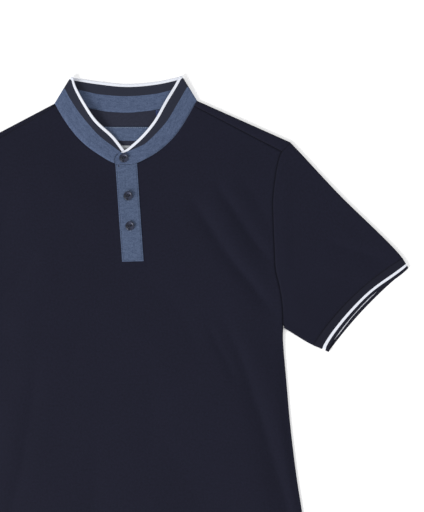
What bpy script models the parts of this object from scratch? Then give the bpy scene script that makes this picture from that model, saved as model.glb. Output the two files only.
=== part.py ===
"""A short-sleeved polo shirt with a band collar, laid flat on its back.

The neck points to +Y, the front faces +Z and the wearer's left is at +X. Sizes and places below are
millimetres, measured from the middle of the neck at the shoulder fold, and the meshes are metres.
"""

import math

import bmesh
import bpy
from mathutils import Vector

MM = 0.001

# Walls and layers
CLOTH = 1.2  # wall of the body cloth
RIB = 1.4  # wall of the knitted collar and cuffs
GAP = 0.4  # clearance across a seam
LAYER_GAP = 0.35  # clearance between cloth that lies on cloth
FOLD_RADIUS = 1.4  # middle of the wall round a folded edge
FOLD_REACH = 2.05  # from a folded edge in to the middle of its bend
FOLD_STEPS = 4
BACK_LEVEL = CLOTH / 2
FRONT_LEVEL = BACK_LEVEL + 2 * FOLD_RADIUS
RIB_LEVEL = RIB / 2
EDGE_LEVEL = CLOTH * 1.5 + LAYER_GAP  # where the front lies on the back, at side seam and hem
LOWEST_FRONT = EDGE_LEVEL + 0.05

# Body
HEM = -720.0
CENTRE_SEAM = -87.2  # collar seam at the centre front
NECK_POINT = {1: (99.8, -0.5), -1: (-99.8, 1.1)}
SHOULDER_TIP = (229.3, -62.8)
SEAM_FORWARD = {1: (7.7, 15.8), -1: (3.0, 8.0)}  # shoulder seam in front of the fold: at neck, at tip
ARMPIT = (211.6, -322.5)
SIDE = (  # (y, half width)
    (-322.5, 211.6),
    (-342.0, 210.9),
    (-395.0, 213.9),
    (-463.0, 218.1),
    (-530.0, 224.4),
    (-575.0, 230.1),
    (-640.0, 238.0),
    (HEM, 245.0),
)
FRONT_ARMHOLE = (  # (x, y)
    SHOULDER_TIP,
    (216.1, -76.1),
    (208.8, -99.7),
    (202.7, -137.4),
    (201.8, -165.0),
    (202.4, -209.5),
    (203.2, -240.0),
    (207.4, -260.8),
    (211.2, -288.0),
    ARMPIT,
)
BACK_ARMHOLE = (  # (x, y), below the shoulder bend
    (217.0, -84.0),
    (209.5, -130.0),
    (207.0, -185.0),
    (207.5, -240.0),
    (210.6, -290.0),
    ARMPIT,
)
LOFT = 3.0  # how far the front stands off the back inside its edges
LOFT_EDGE = 70.0
EDGE_TURN = 14.0  # over which the front comes down to its side seam
ARMPIT_TURN = 40.0  # below the armpit, over which it starts to do so
HEM_TURN = 24.0
FOLD_AT_EDGE = 0.4  # what is left of a fold at the panel's edge
NECK_CENTRE = Vector((0.0, -20.0))
NECK_FLAT = 72.0  # the front lies low up to here from the neck's centre

# Sleeve and cuff
SLEEVE_TOP = ((247.1, -83.0), (296.5, -138.9), (347.7, -191.4), (372.5, -217.9), (381.6, -229.4))
SLEEVE_UNDER = ((241.6, -341.7), (252.6, -348.0))
CUFF_TIP = (389.4, -243.3)
CUFF_HEEL = (274.4, -358.0)
SEAM_BOW = 9.5  # how far the cuff seam bows towards the body
FRONT_BOW = 10.9  # the same at the cuff's front edge
BACK_BOW = 5.1  # and at its back edge, which shows beyond the front
SLEEVE_LOFT = 1.0
SLEEVE_EDGE = 1 / 6  # share of its width over which loft and folds set in from each edge
LOFT_START = 0.4  # share of its length over which its loft sets in from the armhole
LOFT_STOP = 1 / 3  # and runs out towards the cuff
ARMPIT_BEND = (213.2, -320.6)  # middle of the underarm bend at the armhole

# Folds of the front: (start x, y, middle x, y, end x, y, half widths to its left and right, height)
FOLDS = (
    (79.6, -121.3, 135.8, -215.3, 208.7, -314.0, 7.0, 16.0, -3.0),
    (111.6, -129.2, 158.3, -214.6, 197.1, -277.3, 10.0, 10.0, 1.7),
    (117.9, -105.6, 159.4, -175.4, 202.4, -238.2, 6.0, 10.0, -2.0),
    (140.2, -110.4, 177.6, -173.1, 205.8, -218.7, 9.0, 8.0, 1.0),
    (120.2, -273.7, 178.3, -450.4, 241.5, -693.1, 9.0, 22.0, -2.9),
    (162.4, -318.3, 204.4, -468.0, 256.2, -669.7, 12.0, 13.0, 1.9),
    (102.4, -308.2, 122.3, -350.8, 146.0, -404.7, 5.0, 8.0, -1.2),
    (21.2, -460.0, 75.2, -531.6, 121.9, -665.9, 36.0, 36.0, -1.0),
    (-125.7, -203.8, -157.6, -242.2, -201.0, -291.4, 8.0, 16.0, -2.4),
    (-98.2, -221.4, -133.3, -273.7, -173.9, -322.9, 14.0, 14.0, 1.3),
    (-128.0, -340.0, -150.0, -450.0, -190.0, -640.0, 16.0, 12.0, -1.6),
    (-172.8, -384.6, -180.7, -468.4, -192.3, -580.1, 18.0, 14.0, 1.4),
    (-52.0, -450.0, -60.0, -570.0, -70.0, -712.0, 24.0, 24.0, -1.2),
    (213.1, -308.5, 228.2, -320.2, 243.3, -330.4, 4.0, 6.0, -1.1),
    (269.4, -198.1, 315.0, -218.9, 372.0, -233.1, 8.0, 12.0, -1.4),
    (254.4, -231.3, 300.2, -246.5, 349.1, -253.5, 9.0, 9.0, 1.0),
    (223.4, -87.5, 215.7, -164.4, 218.4, -269.5, 7.0, 7.0, 0.9),
    (-213.5, -300.0, -230.0, -312.0, -246.0, -326.0, 6.0, 4.0, -1.0),
    (-262.0, -190.0, -306.0, -226.0, -360.0, -236.0, 12.0, 8.0, -1.3),
    (-225.0, -92.0, -218.0, -170.0, -220.0, -262.0, 7.0, 7.0, 0.8),
)
FOLD_LINE_STEPS = 12
FOLD_FADE = 0.25  # share of its length over which a fold fades at each end

# Collar, from the shoulder fold to the centre front: (seam x, y, stripe x, y, edge x, y)
COLLAR_FRONT = {
    1: (
        (84.7, -25.8, 81.9, 10.9, 68.2, 19.7),
        (72.0, -44.1, 71.7, -5.6, 55.0, -0.9),
        (57.0, -59.9, 55.6, -30.3, 40.3, -25.7),
        (38.1, -74.0, 31.1, -54.9, 22.9, -46.2),
        (13.1, -86.2, 18.3, -62.9, 4.3, -62.5),
    ),
    -1: (
        (-87.7, -21.0, -77.8, 7.0, -69.0, 23.6),
        (-74.0, -41.4, -64.4, -14.4, -58.4, 2.3),
        (-58.0, -58.7, -44.1, -40.2, -42.3, -23.4),
        (-39.9, -72.6, -30.5, -53.1, -20.5, -45.0),
        (-17.7, -85.6, -19.5, -61.8, -10.3, -57.9),
    ),
}
COLLAR_BACK_SEAM = ((-51.6, -7.6), (-28.0, -12.3), (0.7, -14.7), (23.4, -13.7), (46.0, -11.2))
COLLAR_BACK_STRIPE = ((-64.1, 18.5), (-37.5, 12.2), (1.3, 8.3), (40.5, 10.4), (65.3, 15.2))
COLLAR_BACK_EDGE = ((-37.0, 30.0), (1.8, 25.4), (40.9, 27.2))
COLLAR_PEAK = {1: (79.2, 35.0), -1: (-75.5, 38.2)}
STRIPE_AT_FOLD = 0.56  # share of the band that is heather at the shoulder fold
BAND_SHARES = (0.0, STRIPE_AT_FOLD, 0.9, 1.0)  # where the lines between its colours lie across it
TIPPING = 4.1  # width of the white edge
MOST_TIPPING = 0.85  # most that it takes of what lies above the heather
PEAK_RADIUS = 2.9  # middle of the wall round the fold at the collar's edge
FOLD_TURN = 1 / 3  # share of the band over which that fold turns to its own way
EDGE_RISE = 8.0  # height of the front's free edge, which stands up a little
EDGE_RISE_AT = 0.42
EDGE_CURL = 1.2  # over 1, the band rises more towards its edge
NECK_V = (-2.9, -67.6)  # where the two edges cross
STRIPE_END = (-3.2, -71.2)  # where the stripe runs out beside it
TAB_LEVEL = 5.5  # wearer's left end, which lies over the other
TAB_START = 0.5  # share of the left arm after which its seam rises to that
TAB_REACH = 0.80  # and after which it is level
TAB_EDGE_REACH = 0.94  # the same at its edge
UNDER_LEVEL = 3.5
UNDER_START = 0.25  # share of the right arm after which its seam is level
UNDER_REACH = 0.86  # the same at its edge
OVER_TAB = ((-11.4, -71.0), (-15.2, -73.6), (-17.4, -78.0), (-18.1, -82.0))  # rounded end, (x, y)
OVER_SEAM = (-6.0, -11.0, -15.0, -18.1)  # x of the seam under each of those
UNDER_TAB = ((4.0, -70.8), (10.5, -71.5))
UNDER_SEAM = -85.4  # y of the hidden end's lower edge
TAB_SHARES = (0.6, 0.85)  # the rows of a tab, which has no stripe

# Placket
PLACKET_TOP = (-16.8, 13.4)  # x of its two sides
PLACKET_BOTTOM = (-10.9, 19.0)
PLACKET_START = CENTRE_SEAM - GAP
PLACKET_END = -223.4
PLACKET_WALL = 1.2
PLACKET_ROWS = 12
PLACKET_COLUMNS = 3

# Inside the neck
STRIP_SIZE = (164.0, 19.6, 0.8)
STRIP_CENTRE = (-2.2, -44.2)
STRIP_TURN = math.radians(-1.6)
NECK_LABEL_SIZE = (26.0, 15.0, 0.4)
NECK_LABEL_CENTRE = (-4.0, -68.2)
SIZE_LABEL_SIZE = (11.0, 10.0, 0.5)
SIZE_LABEL_CENTRE = (47.2, -16.9)
SIZE_LABEL_TURN = math.radians(5.0)

# Buttons
BUTTONS = ((-4.6, -78.4), (-0.1, -131.7), (1.4, -173.8))
BUTTON_RADIUS = 6.4
BUTTON_SEGMENTS = 20
BUTTON_PROFILE = (  # (radius, height), from the middle of the underside
    (0.0, 0.0),
    (5.7, 0.0),
    (6.3, 0.5),
    (BUTTON_RADIUS, 1.2),
    (6.1, 1.9),
    (5.4, 2.2),
    (4.5, 2.1),
    (3.8, 1.5),
    (0.0, 1.4),
)
HOLE_RADIUS = 0.75
HOLE_SPREAD = 1.5
HOLE_SIDES = 8
HOLE_TURN = math.radians(20.0)
POST_LENGTH = 8.0  # of the posts that cut the holes
BUTTON_FOOT = 6.0  # from a button's middle to where it may touch the cloth
SHARP_EDGE = math.radians(40.0)

# Mesh rows and columns
NECK_STEPS = 10
SHOULDER_STEPS = 7
SIDE_ROWS = 20
ARMHOLE_ROWS = 12
BACK_NECK_STEPS = 6
BACK_SHOULDER_STEPS = 6
BACK_SIDE_ROWS = 11
BACK_ARMHOLE_ROWS = 8
SLEEVE_ROWS = 8
CUFF_ROWS = 3
DENSE = 240

NAVY = (0.016, 0.017, 0.031)
NAVY_STRIPE = (0.030, 0.034, 0.055)
HEATHER = (0.075, 0.105, 0.180)
WHITE = (0.80, 0.83, 0.92)
BUTTON_COLOUR = (0.018, 0.019, 0.028)
LABEL_GREY = (0.17, 0.18, 0.19)
LABEL_BLUE = (0.014, 0.026, 0.090)


def clear_scene():
    for item in list(bpy.data.objects):
        bpy.data.objects.remove(item)


def finish_of(name, colour, roughness):
    made = bpy.data.materials.new(name)
    made.use_nodes = True
    shader = made.node_tree.nodes["Principled BSDF"]
    shader.inputs["Base Color"].default_value = (*colour, 1.0)
    shader.inputs["Roughness"].default_value = roughness
    shader.inputs["Metallic"].default_value = 0.0
    made.diffuse_color = (*colour, 1.0)
    return made


# Lines and surfaces


def smooth(share):
    share = min(max(share, 0.0), 1.0)
    return share * share * (3.0 - 2.0 * share)


def mix(a, b, share):
    return a + (b - a) * share


def flat(points):
    return [Vector(point) for point in points]


def mirrored(points, side):
    return [Vector((x * side, y)) for x, y in points]


def even(line, count):
    """count points at even steps along a line."""
    lengths = [0.0]
    for a, b in zip(line, line[1:]):
        lengths.append(lengths[-1] + (b - a).length)
    found = []
    at = 0
    for step in range(count):
        want = lengths[-1] * step / (count - 1)
        while at < len(line) - 2 and lengths[at + 1] < want:
            at += 1
        share = (want - lengths[at]) / max(lengths[at + 1] - lengths[at], 1e-9)
        found.append(mix(line[at], line[at + 1], min(share, 1.0)))
    return found


def curve(points, count, dense=16):
    """count points at even steps along a smooth curve through the given points."""
    ends = [2 * points[0] - points[1], *points, 2 * points[-1] - points[-2]]
    line = []
    for before, start, stop, after in zip(ends, ends[1:], ends[2:], ends[3:]):
        for step in range(dense):
            t = step / dense
            bend = 2 * before - 5 * start + 4 * stop - after
            twist = 3 * start - before - 3 * stop + after
            line.append(start + 0.5 * ((stop - before) * t + bend * t**2 + twist * t**3))
    line.append(points[-1])
    return even(line, count)


def straight(start, stop, steps):
    return [mix(start, stop, step / steps) for step in range(steps + 1)]


def bowed(start, stop, bow, steps):
    """A line from start to stop that bows sideways, to the right of its way for bow over 0."""
    way = (stop - start).normalized()
    aside = Vector((way.y, -way.x))
    line = []
    for step in range(steps + 1):
        t = step / steps
        line.append(mix(start, stop, t) + aside * bow * 4 * t * (1 - t))
    return line


def shifted(line, by):
    """The line moved to its left."""
    moved = []
    last = len(line) - 1
    for at, point in enumerate(line):
        way = (line[min(at + 1, last)] - line[max(at - 1, 0)]).normalized()
        moved.append(point + Vector((-way.y, way.x)) * by)
    return moved


def patch(start, stop, first, last):
    """Rows of points inside four lines: start and stop are its sides, first and last its ends."""
    rows = []
    for j, (left, right) in enumerate(zip(start, stop)):
        v = j / (len(start) - 1)
        row = []
        for i, (low, high) in enumerate(zip(first, last)):
            u = i / (len(first) - 1)
            corners = mix(mix(first[0], first[-1], u), mix(last[0], last[-1], u), v)
            row.append(mix(left, right, u) + mix(low, high, v) - corners)
        rows.append(row)
    return rows


def bend(centre, outward, low, high, steps=FOLD_STEPS):
    """Points round a folded edge, from the lower layer to the upper one."""
    radius = (high - low) / 2
    points = []
    for step in range(steps + 1):
        angle = math.pi * step / steps
        place = centre + outward * radius * math.sin(angle)
        points.append((place.x, place.y, low + radius * (1 - math.cos(angle))))
    return points


def lifted(rows, level):
    """Rows of (x, y) as (x, y, z), with the height that level gives at each."""
    return [[(point.x, point.y, level(point.x, point.y)) for point in row] for row in rows]


def joined_halves(left, right):
    """One grid of two halves that share their first column."""
    return [list(reversed(a)) + b[1:] for a, b in zip(left, right)]


def wall(name, grids, thickness, finishes, finish_at=None, ring=False):
    """A cloth wall of even thickness on the middle surface that the grids of points give."""
    mesh = bpy.data.meshes.new(name)
    form = bmesh.new()
    for grid in grids:
        rows = [[form.verts.new(Vector(point) * MM) for point in row] for row in grid]
        for j, (low, high) in enumerate(zip(rows, rows[1:])):
            width = len(low)
            for i in range(width if ring else width - 1):
                k = (i + 1) % width
                face = form.faces.new((low[i], low[k], high[k], high[i]))
                face.smooth = True
                face.material_index = finish_at(j, i) if finish_at else 0
    bmesh.ops.remove_doubles(form, verts=form.verts, dist=1e-6)
    bmesh.ops.recalc_face_normals(form, faces=form.faces)
    form.to_mesh(mesh)
    form.free()
    piece = bpy.data.objects.new(name, mesh)
    bpy.context.collection.objects.link(piece)
    for finish in finishes:
        mesh.materials.append(finish)
    solid = piece.modifiers.new("Wall", "SOLIDIFY")
    solid.thickness = thickness * MM
    solid.offset = 0.0
    solid.use_even_offset = True
    solid.use_quality_normals = True
    solid.use_rim = True
    return piece


# Seams that two pieces share


class SideLines:
    """The seams and folds of one side, 1 for the wearer's left and -1 for the right."""

    def __init__(self, side):
        self.side = side
        self.neck = Vector(NECK_POINT[side])
        self.tip = Vector((SHOULDER_TIP[0] * side, SHOULDER_TIP[1]))
        self.along = (self.tip - self.neck).normalized()
        self.inward = Vector((self.along.y, -self.along.x)) * side
        sleeve_way = Vector((SLEEVE_TOP[0][0] * side, SLEEVE_TOP[0][1])) - self.tip
        sleeve_out = Vector((-sleeve_way.y, sleeve_way.x)).normalized() * side
        self.tip_out = (sleeve_out - self.inward).normalized()
        peak_way = Vector(COLLAR_PEAK[side]) - self.neck
        self.collar_out = Vector((peak_way.y, -peak_way.x)).normalized() * side
        self.neck_out = (self.collar_out - self.inward).normalized()
        self.set_armholes()
        self.set_collar_seam()

    def at_depth(self, line, depth):
        """The first place on a line that lies this far in front of the shoulder fold."""
        for place, point in enumerate(line):
            if (point - self.neck).dot(self.inward) >= depth:
                return place
        return len(line) - 1

    def set_armholes(self):
        line = curve(mirrored(FRONT_ARMHOLE, self.side), DENSE)
        corner = self.at_depth(line, SEAM_FORWARD[self.side][1])
        self.tip_centre = line[self.at_depth(line, FOLD_REACH)]
        self.armhole = [self.tip_centre, *even(line[corner:], ARMHOLE_ROWS + 1)]
        back = [self.tip_centre, *mirrored(BACK_ARMHOLE, self.side)]
        self.back_armhole = curve(back, BACK_ARMHOLE_ROWS + 1)

    def set_collar_seam(self):
        seam = flat(row[:2] for row in COLLAR_FRONT[self.side])
        line = curve([self.neck, *seam, Vector((0.0, CENTRE_SEAM))], DENSE)
        corner = self.at_depth(line, SEAM_FORWARD[self.side][0])
        self.neck_centre = line[self.at_depth(line, FOLD_REACH)]
        self.collar_seam = [self.neck_centre, *even(line[corner:], NECK_STEPS + 1)]

    def body_armhole(self):
        return shifted(self.armhole, -GAP / 2 * self.side)

    def body_back_armhole(self):
        return [self.body_armhole()[0], *shifted(self.back_armhole, -GAP / 2 * self.side)[1:]]

    def body_neckline(self):
        return shifted(self.collar_seam, GAP * self.side)


def half_width(y):
    """Half the body's width at y, with the armhole above the armpit."""
    table = SIDE if y <= ARMPIT[1] else tuple((row[1], row[0]) for row in reversed(FRONT_ARMHOLE))
    rows = sorted(table)
    for (low, at_low), (high, at_high) in zip(rows, rows[1:]):
        if y <= high:
            return mix(at_low, at_high, (y - low) / (high - low))
    return rows[-1][1]


def fold_lines():
    """Each fold's centre line, half widths and height."""
    for x0, y0, x1, y1, x2, y2, left, right, height in FOLDS:
        line = curve(flat(((x0, y0), (x1, y1), (x2, y2))), FOLD_LINE_STEPS + 1)
        yield line, left, right, height


FOLD_LINES = tuple(fold_lines())


def fold_height(x, y):
    """What the folds add at (x, y): each is highest in its middle and fades at its ends."""
    total = 0.0
    spot = Vector((x, y))
    for line, left, right, height in FOLD_LINES:
        nearest, place, half = math.inf, 0.0, left
        for at, (a, b) in enumerate(zip(line, line[1:])):
            run = b - a
            share = min(max((spot - a).dot(run) / run.length_squared, 0.0), 1.0)
            offset = spot - a - run * share
            if offset.length < nearest:
                nearest, place = offset.length, (at + share) / FOLD_LINE_STEPS
                half = left if run.cross(offset) > 0 else right
        if nearest < 2 * half:
            across = math.cos(math.pi / 4 * nearest / half) ** 2
            total += height * across * smooth(min(place, 1 - place) / FOLD_FADE)
    return total


def front_level(x, y):
    """Height of the middle of the front's wall."""
    from_side = half_width(y) - abs(x)
    from_neck = (Vector((x, y)) - NECK_CENTRE).length - NECK_FLAT
    inside = smooth(from_side / LOFT_EDGE) * smooth((y - HEM) / LOFT_EDGE) * smooth(from_neck / LOFT_EDGE)
    shoulder = min(abs(x), SHOULDER_TIP[0]) * SHOULDER_TIP[1] / SHOULDER_TIP[0]
    inside *= smooth((shoulder - y) / LOFT_EDGE)
    level = FRONT_LEVEL + LOFT * inside + fold_height(x, y) * smooth(from_side / EDGE_TURN + FOLD_AT_EDGE)
    turn = (1 - smooth(from_side / EDGE_TURN)) * smooth((ARMPIT[1] - y) / ARMPIT_TURN)
    turn = max(turn, 1 - smooth((y - HEM) / HEM_TURN))
    return max(mix(level, EDGE_LEVEL, turn), LOWEST_FRONT)


# Pieces


def side_line(side, rows):
    """The side seam, from the hem to the armpit."""
    points = [Vector((x * side, y)) for y, x in reversed(SIDE)]
    return curve(points, rows + 1)


def front_half(lines):
    neckline = list(reversed(lines.body_neckline()[1:]))
    neckline[0].x = 0.0
    armhole = lines.body_armhole()[1:]
    shoulder = straight(neckline[-1], armhole[0], SHOULDER_STEPS)
    top = neckline + [point + lines.inward * GAP for point in shoulder[1:]]
    neckline[-1] += lines.inward * GAP
    top[NECK_STEPS] = neckline[-1]
    side = side_line(lines.side, SIDE_ROWS) + list(reversed([top[-1], *armhole[1:]]))[1:]
    hem = straight(Vector((0.0, HEM)), side[0], len(top) - 1)
    centre = straight(hem[0], top[0], len(side) - 1)
    return patch(centre, side, hem, top)


def make_front(sides, finish):
    rows = joined_halves(*[front_half(sides[side]) for side in (-1, 1)])
    return wall("front", [lifted(rows, front_level)], CLOTH, [finish])


def back_half(lines, neckline):
    armhole = lines.body_back_armhole()
    top = neckline + straight(neckline[-1], armhole[0], BACK_SHOULDER_STEPS)[1:]
    side = side_line(lines.side, BACK_SIDE_ROWS) + list(reversed(armhole))[1:]
    hem = straight(Vector((0.0, HEM)), side[0], len(top) - 1)
    centre = straight(hem[0], top[0], len(side) - 1)
    return patch(centre, side, hem, top)


def shoulder_flap(lines, start):
    """The back's cloth round the shoulder fold and on to the forward seam."""
    stop = lines.body_armhole()[0]
    neck_corner = lines.body_neckline()[1]
    tip_corner = lines.body_armhole()[1]
    columns = []
    for step in range(BACK_SHOULDER_STEPS + 1):
        share = step / BACK_SHOULDER_STEPS
        outward = -lines.inward
        if step == 0:
            outward = lines.neck_out
        if step == BACK_SHOULDER_STEPS:
            outward = lines.tip_out
        centre = mix(start, stop, share)
        seam = mix(neck_corner, tip_corner, share)
        column = bend(centre, outward, BACK_LEVEL, FRONT_LEVEL)
        middle = mix(centre, seam, 0.5)
        column += [(middle.x, middle.y, FRONT_LEVEL), (seam.x, seam.y, FRONT_LEVEL)]
        columns.append(column)
    return columns


def back_neckline(sides, steps):
    """The collar's seam on the back, from the middle out to each side's fold."""
    return curve([sides[-1].neck_centre, *flat(COLLAR_BACK_SEAM), sides[1].neck_centre], 2 * steps + 1)


def make_back(sides, finish):
    seam = shifted(back_neckline(sides, BACK_NECK_STEPS), -GAP)
    seam[0] += sides[-1].along * GAP
    seam[-1] += sides[1].along * GAP
    halves = {1: seam[BACK_NECK_STEPS:], -1: list(reversed(seam[: BACK_NECK_STEPS + 1]))}
    rows = joined_halves(*[back_half(sides[side], halves[side]) for side in (-1, 1)])
    grids = [lifted(rows, lambda x, y: BACK_LEVEL)]
    for side in (-1, 1):
        grids.append(shoulder_flap(sides[side], halves[side][-1]))
    return wall("back", grids, CLOTH, [finish])


class SleeveLines:
    """The middle lines of a sleeve's two folded edges and its end seams."""

    def __init__(self, lines):
        self.side = lines.side
        side = lines.side
        self.top_seam = shifted(lines.armhole, GAP / 2 * side)
        self.under_seam = shifted(lines.back_armhole, GAP / 2 * side)
        heel = Vector((ARMPIT_BEND[0] * side, ARMPIT_BEND[1]))
        self.top_seam[-1] = heel
        self.under_seam[-1] = heel
        self.under_seam[0] = self.top_seam[0]
        top = shifted(mirrored((SHOULDER_TIP, *SLEEVE_TOP), side), -FOLD_REACH * side)
        under = shifted(mirrored((ARMPIT, *SLEEVE_UNDER), side), FOLD_REACH * side)
        self.top_edge = curve([self.top_seam[0], *top[1:]], SLEEVE_ROWS + 1)
        self.under_edge = curve([heel, *under[1:]], SLEEVE_ROWS + 1)
        self.top_out = self.outward(self.top_edge, 1, lines.tip_out)
        self.under_out = self.outward(self.under_edge, -1, None)

    def outward(self, line, turn, first):
        ways = []
        last = len(line) - 1
        for at in range(len(line)):
            way = line[min(at + 1, last)] - line[max(at - 1, 0)]
            ways.append(Vector((-way.y, way.x)).normalized() * self.side * turn)
        if first:
            ways[0] = first
        return ways


def sleeve_rows(lines, sleeve):
    """Rings of the sleeve, from the armhole to the cuff seam."""
    bow = SEAM_BOW * lines.side
    upper_end = bowed(sleeve.top_edge[-1], sleeve.under_edge[-1], bow, len(sleeve.top_seam) - 1)
    lower_end = bowed(sleeve.top_edge[-1], sleeve.under_edge[-1], bow, len(sleeve.under_seam) - 1)
    upper = patch(sleeve.top_edge, sleeve.under_edge, sleeve.top_seam, upper_end)
    lower = patch(sleeve.top_edge, sleeve.under_edge, sleeve.under_seam, lower_end)
    return upper, lower


def ring(upper, lower, top_out, under_out, upper_level, low):
    """A closed row: over the top layer, round the underarm, back below and round the top fold."""
    high = low + 2 * FOLD_RADIUS
    row = [(p.x, p.y, upper_level(at / (len(upper) - 1), p)) for at, p in enumerate(upper)]
    row += list(reversed(bend(upper[-1], under_out, low, high)))[1:-1]
    row += [(p.x, p.y, low) for p in reversed(lower)]
    row += bend(upper[0], top_out, low, high)[1:-1]
    return row


def make_sleeve(lines, name, finish):
    sleeve = SleeveLines(lines)
    upper, lower = sleeve_rows(lines, sleeve)
    rings = []
    for at, (over, below) in enumerate(zip(upper, lower)):
        v = at / SLEEVE_ROWS

        def level(u, point, v=v):
            inside = smooth(min(u, 1 - u) / SLEEVE_EDGE)
            loft = SLEEVE_LOFT * math.sin(math.pi * u)
            loft *= smooth(v / LOFT_START) * smooth((1 - v) / LOFT_STOP)
            return max(FRONT_LEVEL + (loft + fold_height(point.x, point.y)) * inside, LOWEST_FRONT)

        rings.append(ring(over, below, sleeve.top_out[at], sleeve.under_out[at], level, BACK_LEVEL))
    return wall(name, [rings], CLOTH, [finish], ring=True)


def make_cuff(lines, name, finishes):
    """A knitted ring, whose back layer shows a little beyond its front one."""
    side = lines.side
    sleeve = SleeveLines(lines)
    top, under = sleeve.top_edge[-1], sleeve.under_edge[-1]
    tip = Vector((CUFF_TIP[0] * side, CUFF_TIP[1]))
    heel = Vector((CUFF_HEEL[0] * side, CUFF_HEEL[1]))
    tip_end = tip - sleeve.top_out[-1] * FOLD_REACH
    heel_end = heel - sleeve.under_out[-1] * FOLD_REACH
    over_steps, under_steps = len(sleeve.top_seam) - 1, len(sleeve.under_seam) - 1
    rings = []
    for at in range(CUFF_ROWS + 1):
        share = at / CUFF_ROWS
        start = mix(top + (tip_end - top).normalized() * GAP, tip_end, share)
        stop = mix(under + (heel_end - under).normalized() * GAP, heel_end, share)
        upper = bowed(start, stop, mix(SEAM_BOW, FRONT_BOW, share) * side, over_steps)
        lower = bowed(start, stop, mix(SEAM_BOW, BACK_BOW, share) * side, under_steps)
        outs = sleeve.top_out[-1], sleeve.under_out[-1]
        rings.append(ring(upper, lower, *outs, lambda u, point: RIB_LEVEL + 2 * FOLD_RADIUS, RIB_LEVEL))
    return wall(name, [rings], RIB, finishes, finish_at=lambda j, i: int(j == 1), ring=True)


class CollarArm:
    """Cross-sections of one front arm of the collar, each as four points from seam to edge."""

    def __init__(self, lines):
        side = lines.side
        table = COLLAR_FRONT[side]
        count = NECK_STEPS + 2
        peak = Vector(COLLAR_PEAK[side]) - lines.collar_out * (PEAK_RADIUS + RIB / 2)
        self.fold = (lines.neck_centre, peak)
        self.fold_out = (lines.neck_out, lines.collar_out)
        stripe_start = mix(lines.neck_centre, peak, STRIPE_AT_FOLD)
        self.seam = lines.collar_seam
        self.edge = curve([peak, *flat(row[4:] for row in table), Vector(NECK_V)], count)
        stripe = [stripe_start, *flat(row[2:4] for row in table), Vector(STRIPE_END)]
        self.stripe = curve(stripe, count)
        self.over = side == 1

    def rows(self):
        found = []
        last = len(self.seam) - 1
        for at, (seam, stripe, edge) in enumerate(zip(self.seam, self.stripe, self.edge)):
            share = at / last
            tip = mix(edge, stripe, min(TIPPING / (edge - stripe).length, MOST_TIPPING))
            points = (seam, stripe, tip, edge)
            heights = [self.height(share, place) for place in BAND_SHARES]
            found.append([(p.x, p.y, z) for p, z in zip(points, heights)])
        return found

    def height(self, share, place):
        """Height of the middle of the wall, share along the arm and place from seam to edge."""
        if self.over:
            rise = smooth((share - TAB_START) / (TAB_REACH - TAB_START))
            seam = mix(RIB_LEVEL + 2 * FOLD_RADIUS, TAB_LEVEL, rise)
            level = smooth((share - EDGE_RISE_AT) / (TAB_EDGE_REACH - EDGE_RISE_AT))
            edge = mix(EDGE_RISE, TAB_LEVEL, level)
        else:
            seam = mix(RIB_LEVEL + 2 * FOLD_RADIUS, UNDER_LEVEL, smooth(share / UNDER_START))
            level = smooth((share - EDGE_RISE_AT) / (UNDER_REACH - EDGE_RISE_AT))
            edge = mix(EDGE_RISE, UNDER_LEVEL, level)
        start = RIB_LEVEL + 2 * PEAK_RADIUS
        edge = mix(start, edge, smooth(share / EDGE_RISE_AT))
        return mix(seam, edge, place**EDGE_CURL)


def tab_rows(tops, seams, seam_y, level):
    """Sections of a collar end, from the given points on its edge to the seam below them."""
    rows = []
    for top, x in zip(tops, seams):
        seam = Vector((x, seam_y))
        points = [seam, *[mix(seam, Vector(top), share) for share in TAB_SHARES], Vector(top)]
        rows.append([(p.x, p.y, level) for p in points])
    return rows


def fold_rows(arm):
    """Sections round the fold at the shoulder, from the back up to the front."""
    columns = []
    for place in BAND_SHARES:
        centre = mix(*arm.fold, place)
        outward = mix(*arm.fold_out, min(place / FOLD_TURN, 1.0)).normalized()
        radius = mix(FOLD_RADIUS, PEAK_RADIUS, place)
        columns.append(bend(centre, outward, RIB_LEVEL, RIB_LEVEL + 2 * radius))
    return [list(row) for row in zip(*columns)]


def back_collar_rows(sides, arms):
    """Sections of the band behind the neck, from the wearer's right to the left."""
    count = 2 * BACK_NECK_STEPS + 1
    seam = back_neckline(sides, BACK_NECK_STEPS)
    starts = {side: [mix(*arms[side].fold, place) for place in BAND_SHARES] for side in (-1, 1)}
    stripe = curve([starts[-1][1], *flat(COLLAR_BACK_STRIPE), starts[1][1]], count)
    edge = curve([starts[-1][3], *flat(COLLAR_BACK_EDGE), starts[1][3]], count)
    rows = []
    for low, middle, high in zip(seam, stripe, edge):
        tip = high + (middle - high).normalized() * TIPPING
        rows.append([(p.x, p.y, RIB_LEVEL) for p in (low, middle, tip, high)])
    for side, row in ((-1, rows[0]), (1, rows[-1])):
        row[:] = [(p.x, p.y, RIB_LEVEL) for p in starts[side]]
    return rows


def make_collar(sides, finishes):
    """One band: the right arm, which lies under, the back of the neck and the left arm, which lies over."""
    arms = {side: CollarArm(sides[side]) for side in (-1, 1)}
    over, under = arms[1].rows(), arms[-1].rows()
    over_tab = tab_rows(OVER_TAB, OVER_SEAM, CENTRE_SEAM, TAB_LEVEL)
    under_tab = tab_rows(UNDER_TAB, [x for x, y in UNDER_TAB], UNDER_SEAM, UNDER_LEVEL)
    folds = {side: fold_rows(arms[side]) for side in (-1, 1)}
    right = list(reversed(under_tab)) + list(reversed(under))
    right[-1] = folds[-1][-1]
    over[0] = folds[1][-1]
    rows = right + list(reversed(folds[-1][:-1])) + back_collar_rows(sides, arms)[1:-1]
    rows += folds[1][:-1] + over + over_tab
    first_plain, last_plain = len(under_tab), len(rows) - len(over_tab) - 1

    def finish_at(row, column):
        striped = first_plain <= row < last_plain
        return column if striped else 0

    return wall("collar", [rows], RIB, finishes, finish_at)


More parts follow.
